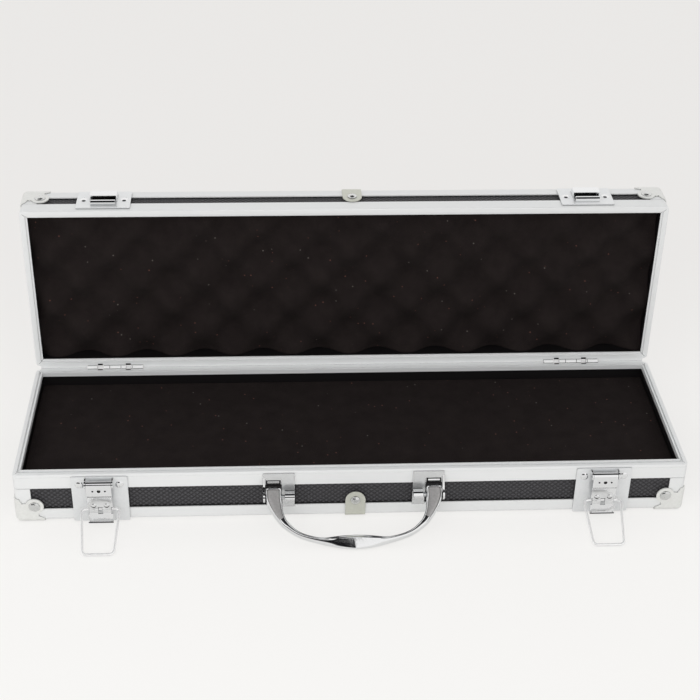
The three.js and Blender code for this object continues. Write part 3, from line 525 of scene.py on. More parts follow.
def ring(profile, steps=8):
    """Points, faces and UVs of a closed profile of (inset, height) carried round the tray."""
    loops = [tray_loop(inset, height, steps) for inset, height in profile]
    count = len(loops[0])
    points = [point for loop in loops for point, _ in loop]
    lengths = [0.0]
    for (a, b), (c, d) in zip(profile, profile[1:] + profile[:1]):
        lengths.append(lengths[-1] + math.hypot(c - a, d - b))
    uvs = []
    for i, loop in enumerate(loops):
        after = loops[(i + 1) % len(loops)]
        for j in range(count):
            m = (j + 1) % count
            uvs += [(loop[j][1], lengths[i]), (loop[m][1], lengths[i]),
                    (after[m][1], lengths[i + 1]), (after[j][1], lengths[i + 1])]
    return points, skin(len(loops), count, closed=True), uvs


def round_corner(before, corner, after, radius, steps=4):
    """Points of an arc that rounds one corner of a profile."""
    a = (Vector(before) - Vector(corner)).normalized()
    b = (Vector(after) - Vector(corner)).normalized()
    half = a.angle(b) / 2
    reach = radius / math.tan(half)
    centre = Vector(corner) + (a + b).normalized() * radius / math.sin(half)
    start, end = Vector(corner) + a * reach, Vector(corner) + b * reach
    first = math.atan2(*(start - centre).yx)
    turn = (math.atan2(*(end - centre).yx) - first + math.pi) % (2 * math.pi) - math.pi
    return [tuple(centre + radius * Vector((math.cos(first + turn * i / steps),
                                            math.sin(first + turn * i / steps))))
            for i in range(steps + 1)]


def rounded_profile(corners, steps=3):
    """A closed profile from (x, y, radius) corners."""
    profile = []
    for i, (x, y, radius) in enumerate(corners):
        before, after = corners[i - 1][:2], corners[(i + 1) % len(corners)][:2]
        profile += round_corner(before, (x, y), after, radius, steps) if radius else [(x, y)]
    return profile

# %% [markdown]
# ## Rims
#
# The base rim carries a groove and a tongue and turns down inside in a short leg. The lid rim
# has a rebate that the tongue enters when the case is shut. A fine line runs round the outside
# of both, 2.3 mm from the rim's face. At the back both are notched for the hinges' knuckles.

# %% Rim extrusions
def rim_profile(top, has_tongue):
    """Corners as (inset, height, radius), up the outside, over the face and down the inside."""
    outside = [(0, top - RIM_LEG, 0), (0, top - 2.5, 0), (0.2, top - 2.36, 0), (0.2, top - 2.24, 0),
               (0, top - 2.1, 0), (0, top, 0.8)]
    if has_tongue:
        face = [(2.9, top, 0.15), (2.9, top - 1.2, 0), (4.2, top - 1.2, 0), (4.2, top + 0.8, 0.15),
                (RIM_WIDTH, top + 0.8, 0.25), (RIM_WIDTH, top - 3, 0.2), (4.6, top - 3, 0.2),
                (4.6, top - 2, 0)]
    else:
        face = [(3.9, top, 0.2), (3.9, top - 1.1, 0), (RIM_WIDTH, top - 1.1, 0.25),
                (RIM_WIDTH, top - 2, 0.2)]
    return rounded_profile(outside + face + [(SKIN, top - 2, 0), (SKIN, top - RIM_LEG, 0)])


# %% Room for the hinges
HINGE_OFFSET, HINGE_WIDTH, KNUCKLE = 171.5, 41.5, 1.7


def bar(name, radius, length, centre, sides=32):
    """A round bar along x, in world millimetres, to cut with."""
    around = [(math.cos(2 * math.pi * k / sides), math.sin(2 * math.pi * k / sides))
              for k in range(sides)]
    points = [(centre[0] + end * length / 2, centre[1] + radius * c, centre[2] + radius * d)
              for end in (-1, 1) for c, d in around]
    faces = [(k, sides + k, sides + (k + 1) % sides, (k + 1) % sides) for k in range(sides)]
    faces += [tuple(range(sides)), tuple(range(2 * sides - 1, sides - 1, -1))]
    return turn_outward(make_object(name, points, faces, WORLD))


def clear_knuckles(piece):
    """Notches a piece where the hinges' rolls turn."""
    for _, sx in SIDES:
        middle = (sx * HINGE_OFFSET, HINGE.y, HINGE.z)
        boolean(piece, bar("knuckle room", KNUCKLE + FIT, HINGE_WIDTH + 2 * FIT, middle))
    return piece


# %% Sweep the rims
for tray, (place, height) in TRAYS.items():
    points, faces, uvs = ring(rim_profile(height, tray == "base"))
    rim = clear_knuckles(make_object(f"{tray}_rim_extrusion", points, faces, place, uvs))
    finish_piece(smooth(rim, 30), RIM_METAL, tray, "aluminium", f"{tray}_rim")

# %% [markdown]
# ## Rear lips
#
# Along the back each rim carries a narrow lip that reaches toward the hinge's axis, so that no
# daylight shows between the trays while the case stands open. The lips meet at the axis and
# turn about it, so they never touch.

# %% Lips at the back of the rims
def block(name, low, high, edge=0.0):
    """A box in world millimetres, with a UV map that runs along x."""
    corners = [(x, y, z) for z in (low[2], high[2]) for x, y in
               ((low[0], low[1]), (high[0], low[1]), (high[0], high[1]), (low[0], high[1]))]
    faces = [(3, 2, 1, 0), (4, 5, 6, 7)] + skin(2, 4)
    uvs = [(200 - abs(corners[i][0]), corners[i][1] + corners[i][2])
           for face in faces for i in face]
    made = make_object(name, corners, faces, WORLD, uvs)
    return soften(made, edge) if edge else made


LIP_END = LENGTH / 2 - 3.5
LIPS = {"base": ((64.0, 38.9), (66.6, 39.95)), "lid": ((66.2, 40.3), (67.2, 42.5))}    # (y, z)
for tray, (near, far) in LIPS.items():
    lip = clear_knuckles(block(f"{tray}_rear_lip", (-LIP_END, *near), (LIP_END, *far), edge=0.12))
    finish_piece(smooth(lip, 30), RAIL_METAL, tray, "aluminium")

# %% [markdown]
# ## Rails and posts
#
# The rail is an angle with a rounded back that wraps the tray's outer edge, and short posts of
# the same angle close the corners between rail and rim.

# %% Rail extrusions
for tray, (place, _) in TRAYS.items():
    angle = [(ANGLE_LEG, 0, 0.2), (0, 0, CORNER), (0, RAIL_LEG, 0.2), (SKIN, RAIL_LEG, 0.2),
             (SKIN, SKIN, CORNER - SKIN), (ANGLE_LEG, SKIN, 0.2)]
    points, faces, uvs = ring(rounded_profile(angle, steps=6))
    rail = make_object(f"{tray}_rail_extrusion", points, faces, place, uvs)
    finish_piece(smooth(rail, 30), RAIL_METAL, tray, "aluminium", f"{tray}_rail")

# %% Outlines and corners
def extrude(outline, low, high):
    """A closed outline of (x, y) raised from one height to another."""
    count = len(outline)
    points = [(x, y, z) for z in (low, high) for x, y in outline]
    caps = [tuple(reversed(range(count))), tuple(range(count, 2 * count))]
    return points, caps + skin(2, count)


def counterclockwise(outline):
    area = sum(a[0] * b[1] - b[0] * a[1] for a, b in zip(outline, outline[1:] + outline[:1]))
    return outline if area > 0 else outline[::-1]


CORNERS = {f"{end}_{side}": (sx, sy) for end, sy in (("front", -1), ("back", 1))
           for side, sx in SIDES}


def at_corner(sx, sy):
    """Carries a drawing made from the corner inward to its own corner of the tray."""
    return (Matrix.Translation((sx * LENGTH / 2, sy * DEPTH / 2, 0))
            @ Matrix.Diagonal((-sx, -sy, 1, 1)))


# %% Corner posts
post = counterclockwise(rounded_profile(
    [(0, 0, CORNER), (ANGLE_LEG, 0, 0.1), (ANGLE_LEG, SKIN, 0.1), (SKIN, SKIN, CORNER - SKIN),
     (SKIN, ANGLE_LEG, 0.1), (0, ANGLE_LEG, 0.1)], steps=6))
for tray, (place, height) in TRAYS.items():
    points, faces = extrude(post, RAIL_LEG + FIT, height - RIM_LEG - FIT)
    for corner, (sx, sy) in CORNERS.items():
        stood = place @ at_corner(sx, sy)
        upright = make_object(f"{tray}_{corner}_post_angle", points, faces, stood)
        uv = upright.data.uv_layers.new(name="Surface")
        for loop in upright.data.loops:
            x, y, z = upright.data.vertices[loop.vertex_index].co / MM
            uv.data[loop.index].uv = (z if tray == "base" else y, x + y + z)
        finish_piece(smooth(upright), RAIL_METAL, tray, "aluminium", f"{tray}_{corner}_post")

# %% [markdown]
# ## Corner protectors
#
# A protector is stamped from 0.7 mm sheet: three lobes that meet at the corner, with a notch
# between each pair so that the sheet can fold. Cutting does this best. A rounded block less a
# smaller one leaves the bent sheet, and three lobe-shaped cutters keep what the stamping keeps.

# %% Cut a corner protector
SHEET = 0.7
OUTSET = FIT + SHEET
LOBE_CENTRE, LOBE_RADIUS, LOBE_REACH = 12.8, 6.3, 18.8
CUT = 2.0                       # how far the lobe cutters reach past the sheet
BLOCK_SIZE = 45.0               # more than a lobe's reach


def lobe_outline():
    """Up the folded edge, through the notch, round the lobe and back as its mirror."""
    arc = [(LOBE_CENTRE + LOBE_RADIUS * math.cos(math.radians(a)),
            LOBE_CENTRE + LOBE_RADIUS * math.sin(math.radians(a))) for a in range(157, -68, -8)]
    left = [(-CUT, -CUT), (-CUT, LOBE_REACH), (1.2, LOBE_REACH), (3.1, 17.8), (4.5, 15)]
    right = [(y, x) for x, y in reversed(left[1:])]
    return counterclockwise(left + arc + right)


def rounded_block(name, low, radius):
    square = [(low, low), (BLOCK_SIZE, low), (BLOCK_SIZE, BLOCK_SIZE), (low, BLOCK_SIZE)]
    solid = make_object(name, *extrude(square, low, BLOCK_SIZE), WORLD)
    return soften(solid, radius, segments=8, angle=60)


protector = rounded_block("protector", -OUTSET, CORNER + OUTSET)
boolean(protector, rounded_block("inside", -0.05, CORNER))
points, faces = extrude(lobe_outline(), -CUT, CORNER)
TURNS = [WORLD, Matrix(((0, 0, 1, 0), (1, 0, 0, 0), (0, 1, 0, 0), (0, 0, 0, 1))),
         Matrix(((0, 1, 0, 0), (0, 0, 1, 0), (1, 0, 0, 0), (0, 0, 0, 1)))]
lobes = [make_object(f"lobe_{i}", points, faces, turn) for i, turn in enumerate(TURNS)]
for other in lobes[1:]:
    boolean(lobes[0], other, "UNION")
boolean(protector, lobes[0], "INTERSECT")
soften(protector, 0.3, segments=3, angle=50)
print("protector has", len(protector.data.polygons), "faces")

# %% Protectors on every corner
points = [v.co / MM for v in protector.data.vertices]
faces = [tuple(p.vertices) for p in protector.data.polygons]
for tray, (place, _) in TRAYS.items():
    for corner, (sx, sy) in CORNERS.items():
        guard = make_object(f"{tray}_{corner}_protector", points, faces, place @ at_corner(sx, sy))
        finish_piece(smooth(guard, 30), STAMPED, tray, "aluminium", f"{tray}_{corner}_corner")
bpy.data.objects.remove(protector)

# %% [markdown]
# ## Boards
#
# The boards' CAD solids are already right: flat panels that stop under the extrusions. They
# only need their finish.

# %% Finish the boards
for name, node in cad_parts.items():
    if name.endswith("_panel"):
        node.data.materials.clear()
        node.data.materials.append(BASE_BOARD if name.startswith("base") else LID_BOARD)

# %% [markdown]
# ## Domed rivets with Geometry Nodes
#
# The same rivet closes every lobe of the protectors, so one node tree makes them all. A
# sphere is flattened below its middle, scaled to a head, and put on each point of a cloud,
# turned to face the way that point's stored direction says. The tree ends with real meshes,
# because instances are lost when a model is exported.

# %% Rivet tree
def declare(tree, kind, *titles, way="INPUT"):
    """Gives a tree sockets of one kind."""
    for title in titles:
        tree.interface.new_socket(title, in_out=way, socket_type=f"NodeSocket{kind}")


def hand_out(tree, geometry, finish):
    """The end of a tree: real meshes in one finish."""
    real = add(tree, "GeometryNodeRealizeInstances", {0: geometry})
    painted = add(tree, "GeometryNodeSetMaterial", {0: real.outputs[0], "Material": finish})
    add(tree, "NodeGroupOutput", {0: painted.outputs[0]})


def rivet_tree():
    tree = bpy.data.node_groups.new("rivet heads", "GeometryNodeTree")
    declare(tree, "Geometry", "Points")
    declare(tree, "Float", "Radius", "Height")
    declare(tree, "Material", "Finish")
    declare(tree, "Geometry", "Heads", way="OUTPUT")
    given = add(tree, "NodeGroupInput").outputs
    ball = add(tree, "GeometryNodeMeshUVSphere", {"Segments": 32, "Rings": 20, "Radius": 1.0})
    x, y, z = split(tree, add(tree, "GeometryNodeInputPosition").outputs[0])
    head = add(tree, "ShaderNodeCombineXYZ", {
        0: calc(tree, "MULTIPLY", x, given["Radius"]),
        1: calc(tree, "MULTIPLY", y, given["Radius"]),
        2: calc(tree, "MULTIPLY", calc(tree, "MAXIMUM", z, 0.0), given["Height"])})
    dome = add(tree, "GeometryNodeSetPosition", {0: ball.outputs[0], "Position": head.outputs[0]})
    smoothed = add(tree, "GeometryNodeSetShadeSmooth", {0: dome.outputs[0]})
    facing = add(tree, "GeometryNodeInputNamedAttribute", {"Name": "facing"},
                 data_type="FLOAT_VECTOR")
    turn = add(tree, "FunctionNodeAlignRotationToVector", {"Vector": facing.outputs[0]}, axis="Z")
    copies = add(tree, "GeometryNodeInstanceOnPoints", {
        "Points": given["Points"], "Instance": smoothed.outputs[0], "Rotation": turn.outputs[0]})
    hand_out(tree, copies.outputs[0], given["Finish"])
    return tree


def set_inputs(modifier, **values):
    """Sets a modifier's inputs by the identifiers of their sockets."""
    for item in modifier.node_group.interface.items_tree:
        if item.item_type == "SOCKET" and item.in_out == "INPUT" and item.name in values:
            modifier[item.identifier] = values[item.name]


RIVETS = rivet_tree()
RIVET_RADIUS, RIVET_HEIGHT = 3.8, 1.5

# %% Rivets of the protectors
for tray, (place, _) in TRAYS.items():
    spots = []                  # each a point, the way it faces, and the place of its drawing
    for sx, sy in CORNERS.values():
        corner = place @ at_corner(sx, sy)
        spots.append(((LOBE_CENTRE, -OUTSET, LOBE_CENTRE), (0, -1, 0), corner))
        spots.append(((-OUTSET, LOBE_CENTRE, LOBE_CENTRE), (-1, 0, 0), corner))
        if tray == "lid":
            spots.append(((LOBE_CENTRE, LOBE_CENTRE, -OUTSET), (0, 0, -1), corner))
    points = [spin @ Vector(point) for point, _, spin in spots]
    heads = make_object(f"{tray}_protector_rivets", points, [], WORLD)
    facing = heads.data.attributes.new("facing", "FLOAT_VECTOR", "POINT")
    for item, (_, direction, spin) in zip(facing.data, spots):
        item.vector = (spin.to_3x3() @ Vector(direction)).normalized()
    modifier = heads.modifiers.new("rivets", "NODES")
    modifier.node_group = RIVETS
    set_inputs(modifier, Radius=RIVET_RADIUS * MM, Height=RIVET_HEIGHT * MM, Finish=RIVET_METAL)
    finish_piece(bake(heads), RIVET_METAL, tray, "aluminium")

# %% [markdown]
# ## The base pad
#
# A flat slab of foam, cut a touch large so that its edges press against the lined walls. Its
# top edge is rounded by the knife and the pressure.

# %% Flat foam pad
low, high = (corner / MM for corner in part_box("base_foam"))
points, faces = extrude([(low.x, low.y), (high.x, low.y), (high.x, high.y), (low.x, high.y)],
                        low.z, high.z)
pad = make_object("base_pad", points, faces, WORLD)
soften(pad, 1.2, segments=4)
finish_piece(smooth(pad, 40), FOAM, "base", "foam", "base_foam")

# %% [markdown]
# ## The lid pad
#
# Egg-crate foam is cut by pressing a slab between rollers with pegs: the blade leaves crests
# in staggered rows with valleys between. The product of two cosines has exactly that shape,
# so a node tree lifts a fine grid by it. The grid's edges are then carried down to a flat
# back, which closes the pad.

# %% Egg-crate tree
def egg_crate_tree():
    tree = bpy.data.node_groups.new("egg crate foam", "GeometryNodeTree")
    declare(tree, "Geometry", "Blank")
    declare(tree, "Float", "Pitch", "Shift X", "Shift Y", "Mean Height", "Swing")
    declare(tree, "Material", "Finish")
    declare(tree, "Geometry", "Pad", way="OUTPUT")
    given = add(tree, "NodeGroupInput").outputs
    x, y, _ = split(tree, add(tree, "GeometryNodeInputPosition").outputs[0])
    turn = calc(tree, "DIVIDE", 2 * math.pi, given["Pitch"])
    waves = []
    for place, shift in ((x, given["Shift X"]), (y, given["Shift Y"])):
        phase = calc(tree, "MULTIPLY", calc(tree, "SUBTRACT", place, shift), turn)
        waves.append(calc(tree, "COSINE", phase))
    crest = calc(tree, "MULTIPLY", *waves)
    height = calc(tree, "MULTIPLY_ADD", crest, given["Swing"], given["Mean Height"])
    lifted = add(tree, "ShaderNodeCombineXYZ", {0: x, 1: y, 2: height})
    upper = add(tree, "GeometryNodeInputNamedAttribute", {"Name": "upper"}, data_type="BOOLEAN")
    shaped = add(tree, "GeometryNodeSetPosition", {
        0: given["Blank"], "Selection": upper.outputs[0], "Position": lifted.outputs[0]})
    smoothed = add(tree, "GeometryNodeSetShadeSmooth", {0: shaped.outputs[0]})
    hand_out(tree, smoothed.outputs[0], given["Finish"])
    return tree

# %% Cut the lid pad
PAD_INSET = 4.6                 # from the tray's outside to the pad, at the walls and the back
CREST_PITCH, CREST_SHIFT, CREST_SWING = 43.5, (-18, -47), 5
MEAN_HEIGHT = LID_HEIGHT - 10   # of the crests, over the lid's outer face
COLUMNS, ROWS = 240, 64
half_x, half_y = LENGTH / 2 - PAD_INSET, DEPTH / 2 - PAD_INSET
points = [(-half_x + 2 * half_x * i / COLUMNS, -half_y + 2 * half_y * j / ROWS, MEAN_HEIGHT)
          for i in range(COLUMNS + 1) for j in range(ROWS + 1)]
faces = [(i * (ROWS + 1) + j, (i + 1) * (ROWS + 1) + j, (i + 1) * (ROWS + 1) + j + 1,
          i * (ROWS + 1) + j + 1) for i in range(COLUMNS) for j in range(ROWS)]
border = ([i * (ROWS + 1) for i in range(COLUMNS)] + [COLUMNS * (ROWS + 1) + j for j in range(ROWS)]
          + [i * (ROWS + 1) + ROWS for i in range(COLUMNS, 0, -1)] + list(range(ROWS, 0, -1)))
back = len(points)
points += [(points[i][0], points[i][1], PAD_INSET) for i in border]
for k, corner in enumerate(border):
    m = (k + 1) % len(border)
    faces.append((corner, back + k, back + m, border[m]))
faces.append(tuple(range(len(points) - 1, back - 1, -1)))
crate = make_object("lid_pad", points, faces, WORLD)
upper = crate.data.attributes.new("upper", "BOOLEAN", "POINT")
upper.data.foreach_set("value", [i < back for i in range(len(points))])
modifier = crate.modifiers.new("egg crate", "NODES")
modifier.node_group = egg_crate_tree()
set_inputs(modifier, **{"Pitch": CREST_PITCH * MM, "Shift X": CREST_SHIFT[0] * MM,
                        "Shift Y": CREST_SHIFT[1] * MM, "Mean Height": MEAN_HEIGHT * MM,
                        "Swing": CREST_SWING * MM, "Finish": FOAM})
bake(crate)
crate.data.transform(Matrix.Scale(MM, 4) @ LID_PLACE @ Matrix.Scale(1 / MM, 4))
crate.data.flip_normals()
finish_piece(smooth(crate, 50), FOAM, "lid", "foam", "lid_foam")

# %% [markdown]
# ## Dressing CAD solids
#
# Plates, brackets, keepers, levers, hinge leaves, clips and pins are already modelled in full
# in the CAD. A copy of each is welded, its flat faces are joined again, and its edges are
# rounded, so that the plated edges catch the light as real ones do. Some faces of a pressed
# piece then get a finish of their own.

# %% Dress a CAD solid
def dress(node, name, material, body, slot, edge=0.15):
    """A finished copy of a CAD solid, with edges rounded by so many mm."""
    shape = bmesh.new()
    shape.from_mesh(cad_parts[node].data)
    bmesh.ops.remove_doubles(shape, verts=shape.verts, dist=1e-6)
    bmesh.ops.dissolve_limit(shape, angle_limit=math.radians(1), verts=shape.verts,
                             edges=shape.edges)
    mesh = bpy.data.meshes.new(name)
    shape.to_mesh(mesh)
    shape.free()
    piece = soften(link(name, mesh), edge)
    return finish_piece(smooth(piece, 38), material, body, slot, node)


def paint(piece, material, chosen):
    """One more material, for the faces chosen by their middle in mm and their normal."""
    piece.data.materials.append(material)
    for face in piece.data.polygons:
        if chosen(face.center / MM, face.normal):
            face.material_index = len(piece.data.materials) - 1

# %% [markdown]
# ## Latch plates and keepers
#
# Both are pressed from plated sheet with a satin face. What stands out of them is polished
# bright: rivets, the ears of the plate, the hood and the hook of the keeper. The hook is bent
# out of the keeper's own sheet, which leaves a window behind it. Its floor is painted black:
# partly the dark board that shows through, partly painted shade under the hook.

# %% Plates and keepers
LID_FRONT = HINGE.z + HINGE_OUT + DEPTH         # height of the open lid's front wall
LATCH_OFFSET = 172.0
STANDS_OUT = 1.35               # what is further from the wall than this is polished
WINDOW = ((-8.3, 74.3, 171.15), (8.3, 87.4, 172.4))     # its corners, from the latch's middle
WINDOW_FLOOR = LID_FRONT + 0.6

for side, sx in SIDES:
    plate = dress(f"{side}_latch_plate", f"{side}_latch_base", PLATE, "base", "plated_steel")
    paint(plate, CHROME, lambda middle, _: middle.y < FRONT - STANDS_OUT)
    catch = dress(f"{side}_keeper", f"{side}_catch", PLATE, "lid", "plated_steel")
    paint(catch, CHROME, lambda middle, _: middle.z > LID_FRONT + STANDS_OUT)
    near, far = (Vector(corner) + Vector((sx * LATCH_OFFSET, 0, 0)) for corner in WINDOW)
    boolean(catch, block("window", near, far))
    # the window's floor: painted black, for the board behind and the painted shade under the hook
    paint(catch, SHADE_BLACK, lambda middle, normal: middle.z < WINDOW_FLOOR and normal.z > 0.9)
    smooth(catch, 38)

# %% [markdown]
# ## Levers
#
# A lever is stamped and bent from one strip, then chrome plated. The bends leave two shallow
# grooves across it. Two holes, the undersides of two bosses, the foot of the step, the grooves
# and the seam above the rolled lip are painted flat black: painted shade, where shade falls in
# them.

# %% Levers
GROOVES = ((0.5, 16.2, (-71.3, 25.75)), (0.75, 15.0, (-73.35, 6.5)))     # radius, length, (y, z)
BOSS_ASIDE, BOSS_HEIGHT, BOSS_RADIUS = 4.4, LIFT + BASE_HEIGHT - 21.6, 2.2
LEVER_FACE = -71.12             # y of the lever's outer face at the bosses


def in_groove(aside, y, z):
    return any(math.hypot(y - groove_y, z - groove_z) < radius - 0.005
               and aside < length / 2 - 0.01 for radius, length, (groove_y, groove_z) in GROOVES)


def painted_shade_mark(centre, normal, sx):
    """Picks the faces painted with shade by where they lie, in mm at rest, and by the way they
    face.
    """
    aside, y, z = abs(centre.x - sx * LATCH_OFFSET), centre.y, centre.z
    hole = aside < 5.6 and 28.4 < z < 31.6 and -71.75 < y < -71.0
    step = 26.2 < z < 26.6 and normal.z < -0.5
    on_boss = math.hypot(aside - BOSS_ASIDE, z - BOSS_HEIGHT) < BOSS_RADIUS and y < LEVER_FACE
    seam = 5.0 < z < 6.0 and normal.y < -0.94
    return hole or step or (on_boss and normal.z < -0.1) or seam or in_groove(aside, y, z)


for side, sx in SIDES:
    lever = dress(f"{side}_latch_lever", f"{side}_lever_strip", CHROME, f"{side}_lever",
                  "plated_steel")
    for radius, length, (y, z) in GROOVES:
        boolean(lever, bar("groove", radius, length, (sx * LATCH_OFFSET, y, z)))
    smooth(lever, 38)
    # painted shade: flat black in the holes, under the bosses, at the step, in the grooves and the
    # lip's seam
    paint(lever, SHADE_BLACK, lambda middle, normal: painted_shade_mark(middle, normal, sx))
    dress(f"{side}_latch_pin", f"{side}_lever_rod", PIN_METAL, "base", "steel", 0.1)

# %% [markdown]
# ## Handle brackets
#
# A bracket is brushed sheet, riveted to the case. Its barrel and its ear, which rub against the
# handle, are polished.

# %% Brackets
BRACKET_STANDS_OUT = 1.5

for side, _ in SIDES:
    bracket = dress(f"{side}_handle_bracket", f"{side}_bracket", BRACKET_METAL, "base",
                    "plated_steel")
    paint(bracket, CHROME, lambda middle, _: middle.y < FRONT - BRACKET_STANDS_OUT)
    dress(f"{side}_handle_pin", f"{side}_handle_rod", PIN_METAL, "base", "steel", 0.1)

# %% [markdown]
# ## Hinges
#
# A hinge is two leaves of zinc plated sheet, rolled round one pin. The rolls are cut short,
# so the pin lies bare between them in two places. Black strips behind these places, one on
# each tray, are painted shade: the dark marks beside the bare pin.

# %% Hinges
BARE_PIN = (("a", "c", -13.3, -8.9), ("b", "d", 7.8, 11.4))     # strips, and from where to where
PIN_ROOM = KNUCKLE + 0.6
STRIP_HALF = 1.8

for side, sx in SIDES:
    for tray in TRAYS:
        leaf = dress(f"{side}_hinge_{tray}_leaf", f"{side}_{tray}_leaf", HINGE_METAL, tray,
                     "steel", 0.1)
        for _, _, start, end in BARE_PIN:
            middle = (sx * HINGE_OFFSET + (start + end) / 2, HINGE.y, HINGE.z)
            boolean(leaf, bar("bare pin", PIN_ROOM, end - start, middle))
        smooth(leaf, 30)
    # black strips of painted shade behind the bare pin, one on each tray
    for on_base, on_lid, start, end in BARE_PIN:
        middle = sx * HINGE_OFFSET + (start + end) / 2
        left, right = middle - STRIP_HALF, middle + STRIP_HALF
        strip = block(f"{side}_hinge_shade_strip_{on_base}", (left, 62.7, 38.9), (right, 64.0, 40.05))
        finish_piece(strip, SHADE_BLACK, "base", "board")
        strip = block(f"{side}_hinge_shade_strip_{on_lid}", (left, 66.05, 42.0), (right, 67.0, 43.4))
        finish_piece(strip, SHADE_BLACK, "lid", "board")
    dress(f"{side}_hinge_pin", f"{side}_hinge_rod", HINGE_METAL, "base", "steel", 0.1)

# %% [markdown]
# ## Centre clips
#
# A clip is a strap of stamped sheet that wraps over the middle of each front and holds the
# extrusions to the board with one rivet. It was tumbled longer than the protectors and is
# duller, so it has a finish of its own.

# %% Clips
for tray in TRAYS:
    dress(f"{tray}_clip", f"{tray}_strap", CLIP_METAL, tray, "aluminium")
    dress(f"{tray}_clip_rivet", f"{tray}_strap_rivet", RIVET_METAL, tray, "steel", 0.1)

# %% [markdown]
# ## Wire bails
#
# Each bail is 1.8 mm steel wire bent to a closed frame and plated. Its path is four straight
# runs with round corners, and a circle is carried along it.

# %% Bend the bails
def swept_loop(path, radius, sides=20):
    """A round wire along a closed, level path."""
    points, up = [], Vector((0, 0, 1))
    for i, point in enumerate(path):
        along = (path[(i + 1) % len(path)] - path[i - 1]).normalized()
        aside = along.cross(up)
        for k in range(sides):
            turn = 2 * math.pi * k / sides
            points.append(point + radius * (math.cos(turn) * aside + math.sin(turn) * up))
    return points, skin(len(path), sides, closed=True)


BAIL_HEIGHT, BAIL_OUT, BAIL_REACH, WIRE = 13.4, 4.9, 34.5, 0.9
BAIL_HALF, BAIL_TIP, BAIL_BEND = 12.9, 10.35, 3     # half widths at the lever and at the tip
BAIL_REST = 1.2                 # the tip's height over the table
frame_corners = [(-BAIL_HALF, 0, BAIL_BEND), (BAIL_HALF, 0, BAIL_BEND),
                 (BAIL_TIP, -BAIL_REACH, BAIL_BEND), (-BAIL_TIP, -BAIL_REACH, BAIL_BEND)]
bail_path = [Vector((x, y, 0)) for x, y in rounded_profile(frame_corners, steps=8)]
bail_droop = math.asin((BAIL_HEIGHT + LIFT - BAIL_REST) / BAIL_REACH)
for side, sx in SIDES:
    hung = (BASE_PLACE @ Matrix.Translation((LATCH_OFFSET * sx, FRONT - BAIL_OUT, BAIL_HEIGHT))
            @ Matrix.Rotation(bail_droop, 4, "X"))
    wire = turn_outward(make_object(f"{side}_bail_wire", *swept_loop(bail_path, WIRE), hung))
    finish_piece(smooth(wire, 60), WIRE_METAL, f"{side}_bail", "plated_steel", f"{side}_latch_bail")

# %% [markdown]
# ## Bracket stops
#
# Behind each heel of the handle the bracket has an opening, and in it the sheet is rolled into a
# shallow bright bead. It takes the heel's knock when the handle drops. A black patch in the
# opening is painted shade.

# %% Roll the stops
ARM_MIDDLE, STOP_HALF, STOP_HEIGHT, BEAD_HALF, BEAD_OUT = 54.8, 4.0, 28.6, 1.3, 1.25
FOOT = 0.2                      # the bead starts this far from the wall
arc = [(BEAD_OUT * math.sin(math.pi * i / 12),
        STOP_HEIGHT + BEAD_HALF * (1 - math.cos(math.pi * i / 12))) for i in range(13)]
bead = [(FOOT, STOP_HEIGHT + 2 * BEAD_HALF), (FOOT, STOP_HEIGHT)] + arc
count = len(bead)
faces = [tuple(range(count)), tuple(range(2 * count - 1, count - 1, -1))] + skin(2, count)
for side, sx in SIDES:
    points = [(sx * ARM_MIDDLE + end * STOP_HALF, FRONT - out, up)
              for end in (-1, 1) for out, up in bead]
    stop = turn_outward(make_object(f"{side}_bracket_stop", points, faces), weld=True)
    finish_piece(smooth(stop, 40), CHROME, "base", "plated_steel")

# %% Paint the shade in the openings
OPENING_HALF, OPENING = 5.0, (26.6 + LIFT, 32.6 + LIFT)
for side, sx in SIDES:
    opening = block(f"{side}_bracket_opening_shade",
                    (sx * ARM_MIDDLE - OPENING_HALF, FRONT - 0.25, OPENING[0]),
                    (sx * ARM_MIDDLE + OPENING_HALF, FRONT - 0.05, OPENING[1]))
    finish_piece(opening, SHADE_BLACK, "base", "board")

# %% [markdown]
# ## Handle
#
# The handle is a zinc casting, ground, polished and chrome plated, with the pocket of each arm
# left as cast. It is lofted: a section is carried along half a bow, changing from a square heel
# at the pivot to a soft diamond at the grip, and mirrored. The sections are superellipses, whose
# power says how square they are. The pocket is part of the section, so its walls stay crisp.

# %% Sizes of the bow
SPAN, REACH, PIVOT_OUT, PIVOT_HEIGHT = 109.6, 32.5, 6.1, 22.0
GRIP_WIDTH, GRIP_THICKNESS, GRIP_POWER = 10.0, 7.6, 1.25
HEEL, HEEL_ROUND, HEEL_UNDER = 5.0, 0.8, 4.5    # behind the pivot, its edge, below the pivot
POCKET_RIM, POCKET_DEPTH, POCKET_END = 1.1, 1.3, 0.5
RIDGE_LEAN = 0.42               # the grip's ridge lies this share of its half width toward the case
FACET_FLAT = 0.7                # how flat the grip's two upper facets are, from 0 to 1
STATIONS = [  # share of span, share of reach, width, thickness, power
    (0.5, 0, 10.8, 9, 0.5), (0.498, 0.08, 10.5, 9, 0.5), (0.484, 0.249, 8.9, 8.8, 0.55),
    (0.459, 0.454, 6.3, 8.2, 0.65), (0.42, 0.638, 4.8, 7.2, 0.8), (0.337, 0.838, 3.9, 6, 0.9),
    (0.214, 0.962, 4.8, 6.2, 1), (0.099, 0.994, 8.6, 7.2, 1.2),
    (0, 1, GRIP_WIDTH, GRIP_THICKNESS, GRIP_POWER)]
UNDER, RIM, FLOOR = 20, 4, 8    # steps round the underside, over a pocket's rim, across its floor


